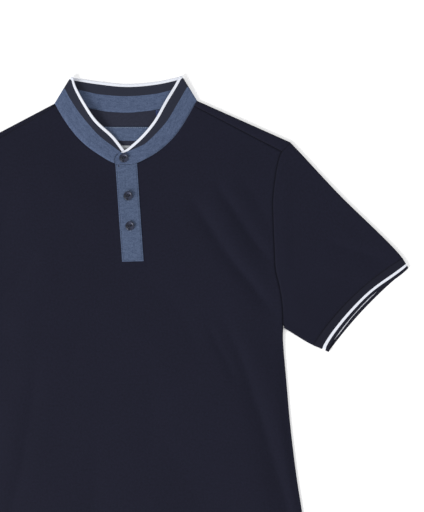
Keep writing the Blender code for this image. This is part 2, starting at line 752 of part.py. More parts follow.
def make_placket(finish):
    rows = []
    for step in range(PLACKET_ROWS + 1):
        share = step / PLACKET_ROWS
        y = mix(PLACKET_START, PLACKET_END, share)
        left, right = [mix(a, b, share) for a, b in zip(PLACKET_TOP, PLACKET_BOTTOM)]
        rows.append(straight(Vector((left, y)), Vector((right, y)), PLACKET_COLUMNS))
    lift = (CLOTH + PLACKET_WALL) / 2 + LAYER_GAP
    return wall("placket", [lifted(rows, lambda x, y: front_level(x, y) + lift)], PLACKET_WALL, [finish])


def make_inner_strip(name, size, centre, turn, finish, steps=(8, 2)):
    """A flat strip that lies on the back panel, inside the neck."""
    width, height, thickness = size
    cos, sin = math.cos(turn), math.sin(turn)
    level = CLOTH + LAYER_GAP + thickness / 2
    rows = []
    for j in range(steps[1] + 1):
        v = (j / steps[1] - 0.5) * height
        row = []
        for i in range(steps[0] + 1):
            u = (i / steps[0] - 0.5) * width
            row.append((centre[0] + u * cos - v * sin, centre[1] + u * sin + v * cos, level))
        rows.append(row)
    return wall(name, [rows], thickness, [finish])


def button_mesh(finish):
    mesh = bpy.data.meshes.new("button")
    form = bmesh.new()
    outline = [form.verts.new((radius * MM, 0.0, height * MM)) for radius, height in BUTTON_PROFILE]
    outline += [form.edges.new(pair) for pair in zip(outline, outline[1:])]
    turn = 2 * math.pi
    bmesh.ops.spin(form, geom=outline, axis=(0, 0, 1), cent=(0, 0, 0), angle=turn, steps=BUTTON_SEGMENTS)
    bmesh.ops.remove_doubles(form, verts=form.verts, dist=1e-6)
    bmesh.ops.recalc_face_normals(form, faces=form.faces)
    form.to_mesh(mesh)
    form.free()
    mesh.materials.append(finish)
    mesh.shade_smooth()
    mesh.set_sharp_from_angle(angle=SHARP_EDGE)
    return mesh


def hole_cutter(name, places):
    """Four posts through each button, which the Boolean takes away."""
    mesh = bpy.data.meshes.new(name)
    form = bmesh.new()
    for x, y, z in places:
        for quarter in range(4):
            angle = HOLE_TURN + math.pi / 2 * quarter
            spot = (x + HOLE_SPREAD * math.cos(angle), y + HOLE_SPREAD * math.sin(angle), z)
            post = bmesh.ops.create_cone(
                form,
                cap_ends=True,
                segments=HOLE_SIDES,
                radius1=HOLE_RADIUS * MM,
                radius2=HOLE_RADIUS * MM,
                depth=POST_LENGTH * MM,
            )
            bmesh.ops.translate(form, verts=post["verts"], vec=Vector(spot) * MM)
    form.to_mesh(mesh)
    form.free()
    cutter = bpy.data.objects.new(name, mesh)
    bpy.context.collection.objects.link(cutter)
    cutter.hide_render = True
    cutter.display_type = "WIRE"
    return cutter


def button_places():
    """Where each button's underside lies: on the collar's upper end, then on the placket."""
    tab = TAB_LEVEL + RIB / 2 + LAYER_GAP
    placket = CLOTH / 2 + LAYER_GAP + PLACKET_WALL + LAYER_GAP
    levels = [tab]
    for x, y in BUTTONS[1:]:
        steps = (-BUTTON_FOOT, 0.0, BUTTON_FOOT)
        around = [front_level(x + dx, y + dy) for dx in steps for dy in steps]
        levels.append(max(around) + placket)
    return [(x, y, z) for (x, y), z in zip(BUTTONS, levels)]


def make_buttons(finish):
    mesh = button_mesh(finish)
    places = button_places()
    cutter = hole_cutter("button_holes", places)
    made = []
    for number, place in enumerate(places, start=1):
        button = bpy.data.objects.new(f"button_{number}", mesh)
        bpy.context.collection.objects.link(button)
        button.location = Vector(place) * MM
        holes = button.modifiers.new("Holes", "BOOLEAN")
        holes.operation = "DIFFERENCE"
        holes.solver = "EXACT"
        holes.object = cutter
        made.append(button)
    return [*made, cutter]


def centre_on_floor(pieces):
    """Moves the shirt so that the middle of its outline lies at the origin."""
    low, high = HEM, COLLAR_PEAK[-1][1]
    shirt = bpy.data.objects.new("shirt", None)
    bpy.context.collection.objects.link(shirt)
    shirt.location = (0.0, -(low + high) / 2 * MM, 0.0)
    for piece in pieces:
        piece.parent = shirt


def main():
    clear_scene()
    navy = finish_of("navy_pique", NAVY, 0.92)
    stripe = finish_of("navy_rib", NAVY_STRIPE, 0.9)
    heather = finish_of("heather_blue", HEATHER, 0.9)
    white = finish_of("white_tipping", WHITE, 0.85)
    sides = {side: SideLines(side) for side in (-1, 1)}
    pieces = [make_front(sides, navy), make_back(sides, navy)]
    for side, name in ((1, "left"), (-1, "right")):
        pieces.append(make_sleeve(sides[side], f"sleeve_{name}", navy))
        pieces.append(make_cuff(sides[side], f"cuff_{name}", [navy, white]))
    pieces.append(make_collar(sides, [heather, stripe, white]))
    pieces.append(make_placket(heather))
    pieces.append(make_inner_strip("neck_strip", STRIP_SIZE, STRIP_CENTRE, STRIP_TURN, heather))
    grey = finish_of("grey_label", LABEL_GREY, 0.7)
    label = make_inner_strip("neck_label", NECK_LABEL_SIZE, NECK_LABEL_CENTRE, STRIP_TURN, grey, (4, 2))
    pieces.append(label)
    blue = finish_of("blue_label", LABEL_BLUE, 0.7)
    turn = SIZE_LABEL_TURN
    pieces.append(make_inner_strip("size_label", SIZE_LABEL_SIZE, SIZE_LABEL_CENTRE, turn, blue, (2, 2)))
    pieces += make_buttons(finish_of("button_plastic", BUTTON_COLOUR, 0.35))
    centre_on_floor(pieces)


main()
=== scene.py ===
"""The looks of a short-sleeved polo shirt with a band collar, laid flat on its back.

Tables and lines are those of the solids: millimetres from the middle of the neck at the shoulder
fold, with the neck to +Y, the front up and the wearer's left at +X. Each piece is a fine thin shell
on its solid's form.
"""

import math

import bmesh
import bpy
import numpy as np
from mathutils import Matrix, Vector, noise


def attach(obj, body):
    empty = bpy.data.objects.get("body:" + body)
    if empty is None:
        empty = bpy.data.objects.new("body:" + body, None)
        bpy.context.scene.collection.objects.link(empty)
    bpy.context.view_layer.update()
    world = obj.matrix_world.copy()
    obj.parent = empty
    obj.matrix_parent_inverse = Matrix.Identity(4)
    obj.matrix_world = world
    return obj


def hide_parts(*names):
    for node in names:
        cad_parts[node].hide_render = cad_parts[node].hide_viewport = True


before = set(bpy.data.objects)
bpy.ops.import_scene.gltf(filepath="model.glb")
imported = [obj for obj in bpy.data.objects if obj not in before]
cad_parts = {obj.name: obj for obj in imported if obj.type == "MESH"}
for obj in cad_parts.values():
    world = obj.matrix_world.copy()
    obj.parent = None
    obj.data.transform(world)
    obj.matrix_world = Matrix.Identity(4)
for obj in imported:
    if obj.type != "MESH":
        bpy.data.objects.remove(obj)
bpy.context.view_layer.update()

MM = 0.001
MIDDLE_Y = 340.9  # from the tables' origin to the frame's

# Walls and layers
CLOTH = 1.0
RIB = 1.3
SEAM_GAP = 0.1
BACK_LEVEL = CLOTH / 2
FRONT_LEVEL = 3.4
RIB_LEVEL = RIB / 2
EDGE_LEVEL = 1.7  # where the front lies on the back, at side seam and hem
LOWEST_FRONT = 1.9
FOLD_REACH = 2.05

# Body
HEM = -720.0
CENTRE_SEAM = -87.2
NECK_POINT = {1: (99.8, -0.5), -1: (-99.8, 1.1)}
SHOULDER_TIP = (229.3, -62.8)
SEAM_FORWARD = {1: (7.7, 15.8), -1: (3.0, 8.0)}
ARMPIT = (211.6, -322.5)
SIDE = (  # (y, half width)
    (-322.5, 211.6), (-342.0, 210.9), (-395.0, 213.9), (-463.0, 218.1), (-530.0, 224.4),
    (-575.0, 230.1), (-640.0, 238.0), (HEM, 245.0),
)
FRONT_ARMHOLE = (  # (x, y)
    SHOULDER_TIP, (216.1, -76.1), (208.8, -99.7), (202.7, -137.4), (201.8, -165.0), (202.4, -209.5),
    (203.2, -240.0), (207.4, -260.8), (211.2, -288.0), ARMPIT,
)
BACK_ARMHOLE = (  # (x, y)
    (217.0, -84.0), (209.5, -130.0), (207.0, -185.0), (207.5, -240.0), (210.6, -290.0), ARMPIT,
)
LOFT = 3.0  # how much higher the front lies away from its edges
LOFT_EDGE = 70.0  # over which it rises
EDGE_TURN = 14.0  # over which the front comes down to the side's fold
ARMPIT_TURN = 40.0  # below the armpit, over which that starts
HEM_TURN = 24.0
NECK_CENTRE = (0.0, -20.0)
NECK_FLAT = 72.0

# Sleeve and cuff
SLEEVE_TOP = ((247.1, -83.0), (296.5, -138.9), (347.7, -191.4), (372.5, -217.9), (381.6, -229.4))
SLEEVE_UNDER = ((241.6, -341.7), (252.6, -348.0))
CUFF_TIP = (389.4, -243.3)
CUFF_HEEL = (274.4, -358.0)
CUFF_BANDS = (0.0, 9.8, 13.2, 17.3)  # navy, white and navy, from the seam out
INNER_BANDS = (0.0, 0.55, 0.81, 1.0)  # the same behind, as shares, where the stripe peeps out
HEEL_BANDS = (0.0, 0.55, 0.88, 1.0)  # and near the heel
SEAM_BOW = 9.5
FRONT_BOW = 10.9
BACK_BOW = 5.1
SLEEVE_LOFT = 1.0
ARMPIT_BEND = (213.2, -320.6)

# Folds of the front: (start x, y, middle x, y, end x, y, half widths to its left and right, height)
FOLDS = (
    (79.6, -121.3, 135.8, -215.3, 208.7, -314.0, 7.0, 16.0, -3.0),
    (111.6, -129.2, 158.3, -214.6, 197.1, -277.3, 10.0, 10.0, 1.7),
    (117.9, -105.6, 159.4, -175.4, 202.4, -238.2, 6.0, 10.0, -2.0),
    (140.2, -110.4, 177.6, -173.1, 205.8, -218.7, 9.0, 8.0, 1.0),
    (120.2, -273.7, 178.3, -450.4, 241.5, -693.1, 9.0, 22.0, -2.9),
    (162.4, -318.3, 204.4, -468.0, 256.2, -669.7, 12.0, 13.0, 1.9),
    (102.4, -308.2, 122.3, -350.8, 146.0, -404.7, 5.0, 8.0, -1.2),
    (21.2, -460.0, 75.2, -531.6, 121.9, -665.9, 36.0, 36.0, -1.0),
    (-125.7, -203.8, -157.6, -242.2, -201.0, -291.4, 8.0, 16.0, -2.4),
    (-98.2, -221.4, -133.3, -273.7, -173.9, -322.9, 14.0, 14.0, 1.3),
    (-128.0, -340.0, -150.0, -450.0, -190.0, -640.0, 16.0, 12.0, -1.6),
    (-172.8, -384.6, -180.7, -468.4, -192.3, -580.1, 18.0, 14.0, 1.4),
    (-52.0, -450.0, -60.0, -570.0, -70.0, -712.0, 24.0, 24.0, -1.2),
    (213.1, -308.5, 228.2, -320.2, 243.3, -330.4, 4.0, 6.0, -1.1),
    (269.4, -198.1, 315.0, -218.9, 372.0, -233.1, 8.0, 12.0, -1.4),
    (254.4, -231.3, 300.2, -246.5, 349.1, -253.5, 9.0, 9.0, 1.0),
    (223.4, -87.5, 215.7, -164.4, 218.4, -269.5, 7.0, 7.0, 0.9),
    (-213.5, -300.0, -230.0, -312.0, -246.0, -326.0, 6.0, 4.0, -1.0),
    (-262.0, -190.0, -306.0, -226.0, -360.0, -236.0, 12.0, 8.0, -1.3),
    (-225.0, -92.0, -218.0, -170.0, -220.0, -262.0, 7.0, 7.0, 0.8),
)

SMALL_FOLDS = (  # finer ones, in the same columns
    (30.0, -250.0, 70.0, -300.0, 96.0, -372.0, 9.0, 15.0, -0.5),
    (-30.0, -262.0, -74.0, -330.0, -96.0, -410.0, 14.0, 9.0, -0.5),
    (20.0, -330.0, 24.0, -430.0, 16.0, -560.0, 18.0, 14.0, -0.5),
    (-150.0, -90.0, -172.0, -150.0, -186.0, -214.0, 12.0, 8.0, -0.6),
    (150.0, -92.0, 172.0, -132.0, 193.0, -176.0, 8.0, 11.0, -0.5),
    (186.0, -420.0, 202.0, -500.0, 224.0, -600.0, 8.0, 12.0, 0.5),
)
FOLD_FADE = 0.25  # share of its length over which a fold fades at each end
FOLD_POINTS = 13  # along its line
CREASE_SHARPNESS = 0.9  # 0 for a round trough, 1 for a crease
EVENING = 0.6  # how far a fold's two sides come towards the same width
RIDGE_SHARE = 0.6  # what is left of the solid's ridges
VALLEY_SHARE = 0.9  # and of its creases
FOLD_WANDER = (46.0, 3.0)  # wavelength and reach of the folds' way to and fro
WANDER_SEEDS = (1.5, 7.5)  # across and along
UNEVENNESS = ((58.0, 0.45, 3.3), (21.0, 0.12, 5.1))  # (wavelength, height, seed) between the folds

# Collar, from the shoulder fold to the centre front: (seam x, y, stripe x, y, edge x, y)
COLLAR_FRONT = {
    1: (
        (84.7, -25.8, 81.9, 10.9, 68.2, 19.7),
        (72.0, -44.1, 71.7, -5.6, 55.0, -0.9),
        (57.0, -59.9, 55.6, -30.3, 40.3, -25.7),
        (38.1, -74.0, 31.1, -54.9, 22.9, -46.2),
        (13.1, -86.2, 18.3, -62.9, 4.3, -62.5),
    ),
    -1: (
        (-87.7, -21.0, -77.8, 7.0, -69.0, 23.6),
        (-74.0, -41.4, -64.4, -14.4, -58.4, 2.3),
        (-58.0, -58.7, -44.1, -40.2, -42.3, -23.4),
        (-39.9, -72.6, -30.5, -53.1, -20.5, -45.0),
        (-17.7, -85.6, -19.5, -61.8, -10.3, -57.9),
    ),
}
COLLAR_BACK_SEAM = ((-51.6, -7.6), (-28.0, -12.3), (0.7, -14.7), (23.4, -13.7), (46.0, -11.2))
COLLAR_BACK_STRIPE = ((-64.1, 18.5), (-37.5, 12.2), (1.3, 8.3), (40.5, 10.4), (65.3, 15.2))
COLLAR_BACK_EDGE = ((-37.0, 30.0), (1.8, 25.4), (40.9, 27.2))
COLLAR_PEAK = {1: (79.2, 35.0), -1: (-75.5, 38.2)}
STRIPE_AT_FOLD = 0.56
TIPPING = 4.1  # width of the white
PEAK_RADIUS = 2.9
EDGE_RISE = 8.0  # the edge's height
EDGE_RISE_AT = 0.42  # at this share of an arm
NECK_V = (-3.4, -67.9)
STRIPE_END = {1: (-3.9, -71.1), -1: (-8.4, -70.4)}
MOST_TIPPING = 0.95  # of the way from edge to stripe, where the band is narrow
TAB_LEVEL = 5.5
TAB_RISE_AT = 0.5  # share of the arm at which its seam starts to come to that level
TAB_REACH = 0.80  # share at which it lies there
TAB_EDGE_REACH = 0.94  # and its edge
UNDER_LEVEL = 3.5
UNDER_REACH = 0.86  # the same of the other arm's edge
OVER_TAB = (NECK_V, (-5.8, -69.4), (-8.6, -70.4), (-12.6, -71.9), (-16.2, -75.4), (-18.0, -81.0))
OVER_SEAM = (0.0, -3.0, -6.0, -11.0, -15.0, -18.0)
UNDER_TAB = (NECK_V, (4.0, -70.8), (10.5, -71.5))
UNDER_SEAM = -85.4
BAND_CURL = 1.2  # power by which the band's height rises from its seam
BAND_SHARES = (0.0, STRIPE_AT_FOLD, 0.9, 1.0)  # heather, navy and white, from seam to edge

# Placket
PLACKET_TOP = (-16.8, 13.4)
PLACKET_BOTTOM = (-10.9, 19.0)
PLACKET_START = CENTRE_SEAM - SEAM_GAP
PLACKET_END = -223.4

# Inside the neck: (width, height, thickness), centre (x, y) and turn
NECK_STRIP = ((164.0, 19.6, 0.8), (-2.2, -44.2), math.radians(-1.6))
NECK_LABEL = ((26.0, 15.0, 0.4), (-4.0, -68.2), math.radians(-1.6))
SIZE_LABEL = ((11.0, 10.0, 0.5), (47.2, -16.9), math.radians(5.0))

# Buttons
BUTTONS = ((-4.6, -78.4), (-0.1, -131.7), (1.4, -173.8))
BUTTON_PROFILE = (  # (radius, height), from the middle of the underside
    (0.0, 0.0), (5.5, 0.0), (6.1, 0.35), (6.35, 0.8), (6.4, 1.2), (6.3, 1.6), (6.0, 1.95),
    (5.5, 2.15), (5.0, 2.15), (4.5, 1.95), (4.1, 1.6), (3.7, 1.42), (3.0, 1.36), (0.0, 1.4),
)
BUTTON_SEGMENTS = 72
BUTTON_SINK = (0.0, 0.75, 0.75)  # below the solids' places, as the placket here is thinner
HOLE_RADIUS = 0.75
HOLE_SPREAD = 1.5
HOLE_TURN = math.radians(20.0)
SEW_LEVEL = 1.55  # of the thread over a button, from its underside

# Camera: the photo's frame in metres, and the shirt's turn in it
FRAME_HEIGHT = 0.7168
LENS = 85.0
SENSOR = 36.0
VIEW_CENTRE = (0.1147, 0.1219)
VIEW_TURN = math.radians(-1.6)
VIEW_LEVEL = 0.004  # height of the cloth at which the frame is that high

NAVY = (0.0094, 0.0099, 0.0212)
REVERSE_NAVY = (0.0225, 0.0245, 0.0410)


# Lines and surfaces, as arrays of points


def smooth(share):
    share = np.clip(share, 0.0, 1.0)
    return share * share * (3.0 - 2.0 * share)


def fading(share):
    """1 up to a share of 0, and 0 from a share of 1."""
    return 1 - smooth(share)


def mix(a, b, share):
    return a + (b - a) * share


def evenly(count):
    return np.linspace(0.0, 1.0, count)


def paired(first, second):
    """An array of pairs of two arrays' values, each stretched to the other's shape."""
    return np.stack(np.broadcast_arrays(first, second), axis=-1)


def unit(vectors):
    return vectors / np.linalg.norm(vectors, axis=-1, keepdims=True)


def turned(vectors):
    """Each vector turned a quarter to its left."""
    return paired(-vectors[..., 1], vectors[..., 0])


def ways(line):
    """The direction of a line at each of its points."""
    ends = np.vstack([line[:1], line, line[-1:]])
    return unit(ends[2:] - ends[:-2])


def shifted(line, by):
    """The line moved to its left."""
    return line + turned(ways(line)) * by


def mirrored(points, side):
    return np.array(points, float) * (side, 1.0)


def covered(points, axis=0):
    """The way up to each point of a line, or up to each row of a grid, as its points' mean."""
    steps = np.linalg.norm(np.diff(points, axis=axis), axis=-1)
    if steps.ndim > 1:
        steps = steps.mean(axis=1 - axis)
    return np.concatenate([[0.0], np.cumsum(steps)])


def at(line, shares):
    """Points at shares of a line's length."""
    lengths = covered(line)
    wanted = np.asarray(shares) * lengths[-1]
    return np.stack([np.interp(wanted, lengths, line[:, axis]) for axis in range(line.shape[1])], axis=1)


def even(line, count):
    return at(line, evenly(count))


CURVE_POINTS = 240
CURVE_STEPS = 16  # from one given point to the next, before the even ones are found


def curve(points, count=CURVE_POINTS):
    """count points at even steps along a smooth curve through the given points."""
    points = np.asarray(points, float)
    ends = np.vstack([2 * points[0] - points[1], points, 2 * points[-1] - points[-2]])
    t = (np.arange(CURVE_STEPS) / CURVE_STEPS)[:, None]
    parts = []
    for before, start, stop, after in zip(ends, ends[1:], ends[2:], ends[3:]):
        bend = 2 * before - 5 * start + 4 * stop - after
        twist = 3 * start - before - 3 * stop + after
        parts.append(start + 0.5 * ((stop - before) * t + bend * t**2 + twist * t**3))
    return even(np.vstack([*parts, points[-1:]]), count)


def bowed(start, stop, bow, shares):
    """Points from start to stop on a line that bows to the right of its way for bow over 0."""
    t = np.asarray(shares)[:, None]
    aside = -turned(unit(stop - start))
    return mix(start, stop, t) + aside * bow * 4 * t * (1 - t)


def spaced(knots, counts, extra=()):
    """Shares from 0 to 1: even steps between the knots, and the extra ones."""
    runs = [np.linspace(a, b, n, endpoint=False) for a, b, n in zip(knots, knots[1:], counts)]
    return np.unique(np.concatenate([*runs, [1.0], extra]))


def along(parts, knots, shares):
    """Points of a line in several parts, whose ends lie at the knots."""
    found = np.empty((len(shares), 2))
    for part, low, high in zip(parts, knots, knots[1:]):
        inside = (shares >= low) & (shares <= high)
        found[inside] = at(part, (shares[inside] - low) / (high - low))
    return found


def patch(start, stop, first, last, v, u):
    """Rows of points between four lines: start and stop are its sides, first and last its ends."""
    v, u = v[:, None, None], u[None, :, None]
    corners = mix(mix(first[0], first[-1], u), mix(last[0], last[-1], u), v)
    return mix(start[:, None], stop[:, None], u) + mix(first[None], last[None], v) - corners


def nearest(points, line):
    """How far each point is from a line, where along it, from 0 to 1, and whether it is to its left."""
    start, run = line[:-1], np.diff(line, axis=0)
    offset = points[:, None] - start[None]
    share = np.clip((offset * run).sum(2) / (run**2).sum(1), 0.0, 1.0)
    aside = np.linalg.norm(offset - share[..., None] * run, axis=2)
    best = aside.argmin(1)
    index = np.arange(len(points))
    offset, run = offset[index, best], run[best]
    left = run[:, 0] * offset[:, 1] - run[:, 1] * offset[:, 0] > 0
    return aside[index, best], (best + share[index, best]) / len(start), left


def bend(centres, outward, low, high, steps):
    """Rings of points round a folded edge, from the lower layer to the upper one."""
    angle = np.linspace(0.0, math.pi, steps + 1)[:, None, None]
    radius = (np.asarray(high) - low) / 2
    radius = np.broadcast_to(radius, len(centres))[None, :, None]
    places = centres[None] + outward[None] * radius * np.sin(angle)
    heights = low + radius * (1 - np.cos(angle))
    return np.concatenate([places, heights], axis=2)


def lifted(points, level):
    """(x, y) points with the heights that level gives."""
    heights = np.broadcast_to(level, points.shape[:-1])
    return np.concatenate([points, heights[..., None]], axis=-1)


def ripple(points, size, seed):
    """Smooth noise from about -1 to 1 at each (x, y), whose waves are about size wide."""
    return np.array([noise.noise(Vector((x / size, y / size, seed))) for x, y in points])


# Meshes


def linked(name, data):
    """A new object of the scene with this mesh, lamp or camera."""
    piece = bpy.data.objects.new(name, data)
    bpy.context.collection.objects.link(piece)
    return piece


WELD = 1e-6  # metres between points that are one


def meshed(name, form):
    """The mesh of a form, whose seams are welded first."""
    bmesh.ops.remove_doubles(form, verts=form.verts, dist=WELD)
    bmesh.ops.recalc_face_normals(form, faces=form.faces)
    mesh = bpy.data.meshes.new(name)
    form.to_mesh(mesh)
    form.free()
    return mesh


def soft_piece(name, points, faces, finish):
    """A smooth-shaded object with these points, in millimetres, and faces."""
    mesh = bpy.data.meshes.new(name)
    mesh.from_pydata(placed(points).tolist(), [], faces)
    mesh.shade_smooth()
    mesh.materials.append(finish)
    return linked(name, mesh)


def wall(name, grids, thickness, finishes, finish_at=None, ring=False, inside=0):
    """A cloth wall round the middle surface given by grids of points, with cloth coordinates and shade.

    The shade is painted shade, which darkens the colour where a point lies down in a seam, from 0 to 1, and
    along some edges. inside is how many places further on in the finishes that of the wall's other face is.
    """
    form = bmesh.new()
    layer = form.loops.layers.uv.new("cloth")
    # the shade layer holds painted shade, which darkens the colour in seams and along edges
    depth = form.verts.layers.float.new("shade")
    for points, grain, shade in grids:
        rows = [[form.verts.new(point) for point in row] for row in placed(points)]
        grain = grain * MM
        for row, values in zip(rows, np.broadcast_to(shade, points.shape[:2])):
            for vert, value in zip(row, values):
                vert[depth] = value
        for j, (low, high) in enumerate(zip(rows, rows[1:])):
            width = len(low)
            for i in range(width if ring else width - 1):
                k = (i + 1) % width
                face = form.faces.new((low[i], low[k], high[k], high[i]))
                face.smooth = True
                face.material_index = finish_at(j, i) if finish_at else 0
                corners = ((j, i), (j, i + 1), (j + 1, i + 1), (j + 1, i))
                for loop, corner in zip(face.loops, corners):
                    loop[layer].uv = grain[corner]
    piece = linked(name, meshed(name, form))
    for finish in finishes:
        piece.data.materials.append(finish)
    solid = piece.modifiers.new("Wall", "SOLIDIFY")
    solid.thickness = thickness * MM
    solid.offset = 0.0
    solid.use_quality_normals = True
    solid.material_offset = inside
    return piece


def placed(points):
    """Table points in millimetres as frame points in metres."""
    return (np.asarray(points) + (0.0, MIDDLE_Y, 0.0)) * MM


def joined_mesh(name, template, faces, frames, finish):
    """Copies of a small shape, one at each of the frames (origin and three axes), as one mesh."""
    origins, axes = frames
    points = origins[:, None] + np.einsum("vk,nkd->nvd", template, axes)
    shifts = (np.arange(len(origins)) * len(template))[:, None, None]
    quads = (np.array(faces)[None] + shifts).reshape(-1, 4)
    return soft_piece(name, points.reshape(-1, 3), quads.tolist(), finish)


def round_angles(sides):
    return 2 * math.pi * np.arange(sides) / sides


def ring_quads(rings, sides, first=0):
    """The faces between closed rings of points, numbered on from first, ring after ring."""
    lows = range(first, first + (rings - 1) * sides, sides)
    pairs = [(low + k, low + (k + 1) % sides) for low in lows for k in range(sides)]
    return [(one, other, other + sides, one + sides) for one, other in pairs]


# (place along the stitch, radius), for a stitch one long and one wide
STITCH_RINGS = ((-0.5, 0.25), (-0.42, 0.75), (-0.2, 1.0), (0.2, 1.0), (0.42, 0.75), (0.5, 0.25))
STITCH_SIDES = 6


def stitch_shape():
    """A stitch along +X as points and quads."""
    points = []
    for place, radius in STITCH_RINGS:
        for angle in round_angles(STITCH_SIDES):
            points.append((place, radius * math.cos(angle), radius * math.sin(angle)))
    return np.array(points), ring_quads(len(STITCH_RINGS), STITCH_SIDES)


STITCH_HEIGHT = 0.8  # as a share of its width


def stitches(name, runs, finish, pitch, length, radius):
    """Rows of stitches along lines of (x, y, z), as one piece."""
    origins, frames = [], []
    for line in runs:
        count = max(int(covered(line)[-1] / pitch), 2)
        shares = (np.arange(count) + 0.5) / count
        spots = at(line, shares)
        before, after = at(line, shares - 0.3 / count), at(line, shares + 0.3 / count)
        forward = unit(after - before)
        aside = unit(np.cross((0.0, 0.0, 1.0), forward))
        upward = np.cross(forward, aside)
        origins.append(spots)
        frames.append(np.stack([forward * length, aside * radius, upward * radius * STITCH_HEIGHT], axis=1))
    template, faces = stitch_shape()
    return joined_mesh(name, template, faces, (np.vstack(origins), np.vstack(frames)), finish)


# Materials


SEAM_SHADE = 0.5  # painted shade: how much darker a colour is where the cloth lies lowest in a seam
RIB_PITCH = 1.5  # millimetres between two wales
RIB_COURSE = 1.05  # and between two courses
HEATHER_COURSE = 1.1
PIQUE_PITCH = 3.0  # of the waves that cross to make its diamonds
PIQUE_SLANT = 1.25


class Finish:
    """A material whose nodes are added one by one."""

    def __init__(self, name, roughness=0.9, sheen=0.0, specular=0.12):
        self.material = bpy.data.materials.new(name)
        self.material.use_nodes = True
        self.tree = self.material.node_tree
        self.shader = self.tree.nodes["Principled BSDF"]
        self.shader.inputs["Roughness"].default_value = roughness
        self.shader.inputs["Specular IOR Level"].default_value = specular
        self.shader.inputs["Sheen Weight"].default_value = sheen
        self.shader.inputs["Sheen Roughness"].default_value = 0.45

    def add(self, kind, inputs, output=0, **settings):
        node = self.tree.nodes.new(kind)
        for key, value in settings.items():
            setattr(node, key, value)
        for key, value in inputs.items():
            self.give(node.inputs[key], value)
        return node.outputs[output]

    def give(self, socket, value):
        if isinstance(value, bpy.types.NodeSocket):
            self.tree.links.new(value, socket)
        else:
            socket.default_value = value

    def math(self, operation, first, second=0.0):
        return self.add("ShaderNodeMath", {0: first, 1: second}, operation=operation)

    def plus(self, first, second):
        return self.math("ADD", first, second)

    def times(self, first, second):
        return self.math("MULTIPLY", first, second)

    def size_of(self, value):
        return self.math("ABSOLUTE", value)

    def cloth_axes(self):
        """The cloth coordinates along and across the knit, in metres."""
        uv = self.add("ShaderNodeUVMap", {}, uv_map="cloth")
        return uv, *(self.add("ShaderNodeSeparateXYZ", {0: uv}, output=axis) for axis in (0, 1))

    def wave(self, axis, pitch):
        """A sine along an axis, from -1 to 1, with the pitch in millimetres."""
        return self.math("SINE", self.times(axis, 2 * math.pi / (pitch * MM)))

    def knit(self, u, v, pitch, course):
        """The relief of upright wales, pitch millimetres apart, with faint courses across them."""
        wales = self.size_of(self.wave(u, 2 * pitch))
        return self.plus(wales, self.times(self.wave(v, course), 0.25))

    def noise(self, vector, scale, detail=2.0, roughness=0.5):
        inputs = {"Vector": vector, "Scale": scale, "Detail": detail, "Roughness": roughness}
        return self.add("ShaderNodeTexNoise", inputs)

    def stretched(self, vector, along, across):
        return self.add("ShaderNodeVectorMath", {0: vector, 1: (along, across, 1.0)}, operation="MULTIPLY")

    def blend(self, share, low, high):
        """low and high are colours or sockets of colours."""
        inputs = {0: share, 6: rgba(low), 7: rgba(high)}
        return self.add("ShaderNodeMix", inputs, output=2, data_type="RGBA")

    def spread(self, value, low, high):
        """A value rescaled so that low to high becomes 0 to 1."""
        return self.add("ShaderNodeMapRange", {0: value, 1: low, 2: high})

    def seam_shaded(self, colour):
        """The colour with painted shade, darker where the cloth lies down in a seam and wherever else the
        shade attribute is high.
        """
        shade = self.add("ShaderNodeAttribute", {}, output=2, attribute_name="shade")
        return self.blend(self.times(shade, SEAM_SHADE), colour, (0.0, 0.0, 0.0))

    def bump(self, height, strength, depth):
        """A bump whose height of 1 stands depth millimetres out."""
        inputs = {"Height": height, "Strength": strength, "Distance": depth * MM}
        normal = self.add("ShaderNodeBump", inputs)
        self.tree.links.new(normal, self.shader.inputs["Normal"])

    def colour(self, value):
        self.give(self.shader.inputs["Base Color"], rgba(value))

    def cloth(self, colour, height, strength, depth):
        """The material, once it has its colour and relief."""
        self.colour(self.seam_shaded(colour))
        self.bump(height, strength, depth)
        return self.material


def tones(colour, *factors):
    return [[channel * factor for channel in colour] for factor in factors]


def rgba(value):
    return value if isinstance(value, bpy.types.NodeSocket) else (*value, 1.0)


def pique_finish(name, navy):
    """Navy pique: small diamond pits between raised threads, painted darker as shade, with a faint worn
    variation.
    """
    finish = Finish(name, roughness=0.88, sheen=0.08)
    uv, u, v = finish.cloth_axes()
    over = finish.wave(finish.plus(u, finish.times(v, PIQUE_SLANT)), PIQUE_PITCH)
    under = finish.wave(finish.math("SUBTRACT", u, finish.times(v, PIQUE_SLANT)), PIQUE_PITCH)
    threads = finish.math("MAXIMUM", finish.size_of(over), finish.size_of(under))
    fuzz = finish.noise(uv, 2600.0, 2.0)
    height = finish.plus(threads, finish.times(fuzz, 0.5))
    broad = finish.noise(uv, 9.0, 3.0)
    yarn = finish.noise(uv, 340.0, 3.0, 0.7)
    # the pits painted darker than the threads: painted shade
    dark = finish.blend(finish.spread(threads, 0.55, 1.0), *tones(navy, 0.72, 1.1))
    worn = finish.blend(finish.spread(broad, 0.35, 0.7), dark, *tones(navy, 1.22))
    mottled = finish.blend(0.35, dark, worn)
    uneven = finish.blend(finish.spread(yarn, 0.3, 0.7), *tones(navy, 0.55, 1.45))
    return finish.cloth(finish.blend(0.4, mottled, uneven), height, 0.55, 0.22)


def rib_finish(name, low, high):
    """Flat-knitted rib: fine wales across the band and finer courses along it, with painted shade in its
    hollows.
    """
    finish = Finish(name, roughness=0.9, sheen=0.08)
    uv, u, v = finish.cloth_axes()
    fuzz = finish.noise(uv, 2300.0, 2.0)
    height = finish.plus(finish.knit(u, v, RIB_PITCH, RIB_COURSE), finish.times(fuzz, 0.4))
    # the colour follows the knit's height: painted shade in the hollows between the wales
    return finish.cloth(finish.blend(finish.spread(height, 0.2, 1.5), low, high), height, 0.5, 0.28)


STREAK = (420.0, 900.0)  # of the heather's fibres, along and across, in waves a metre


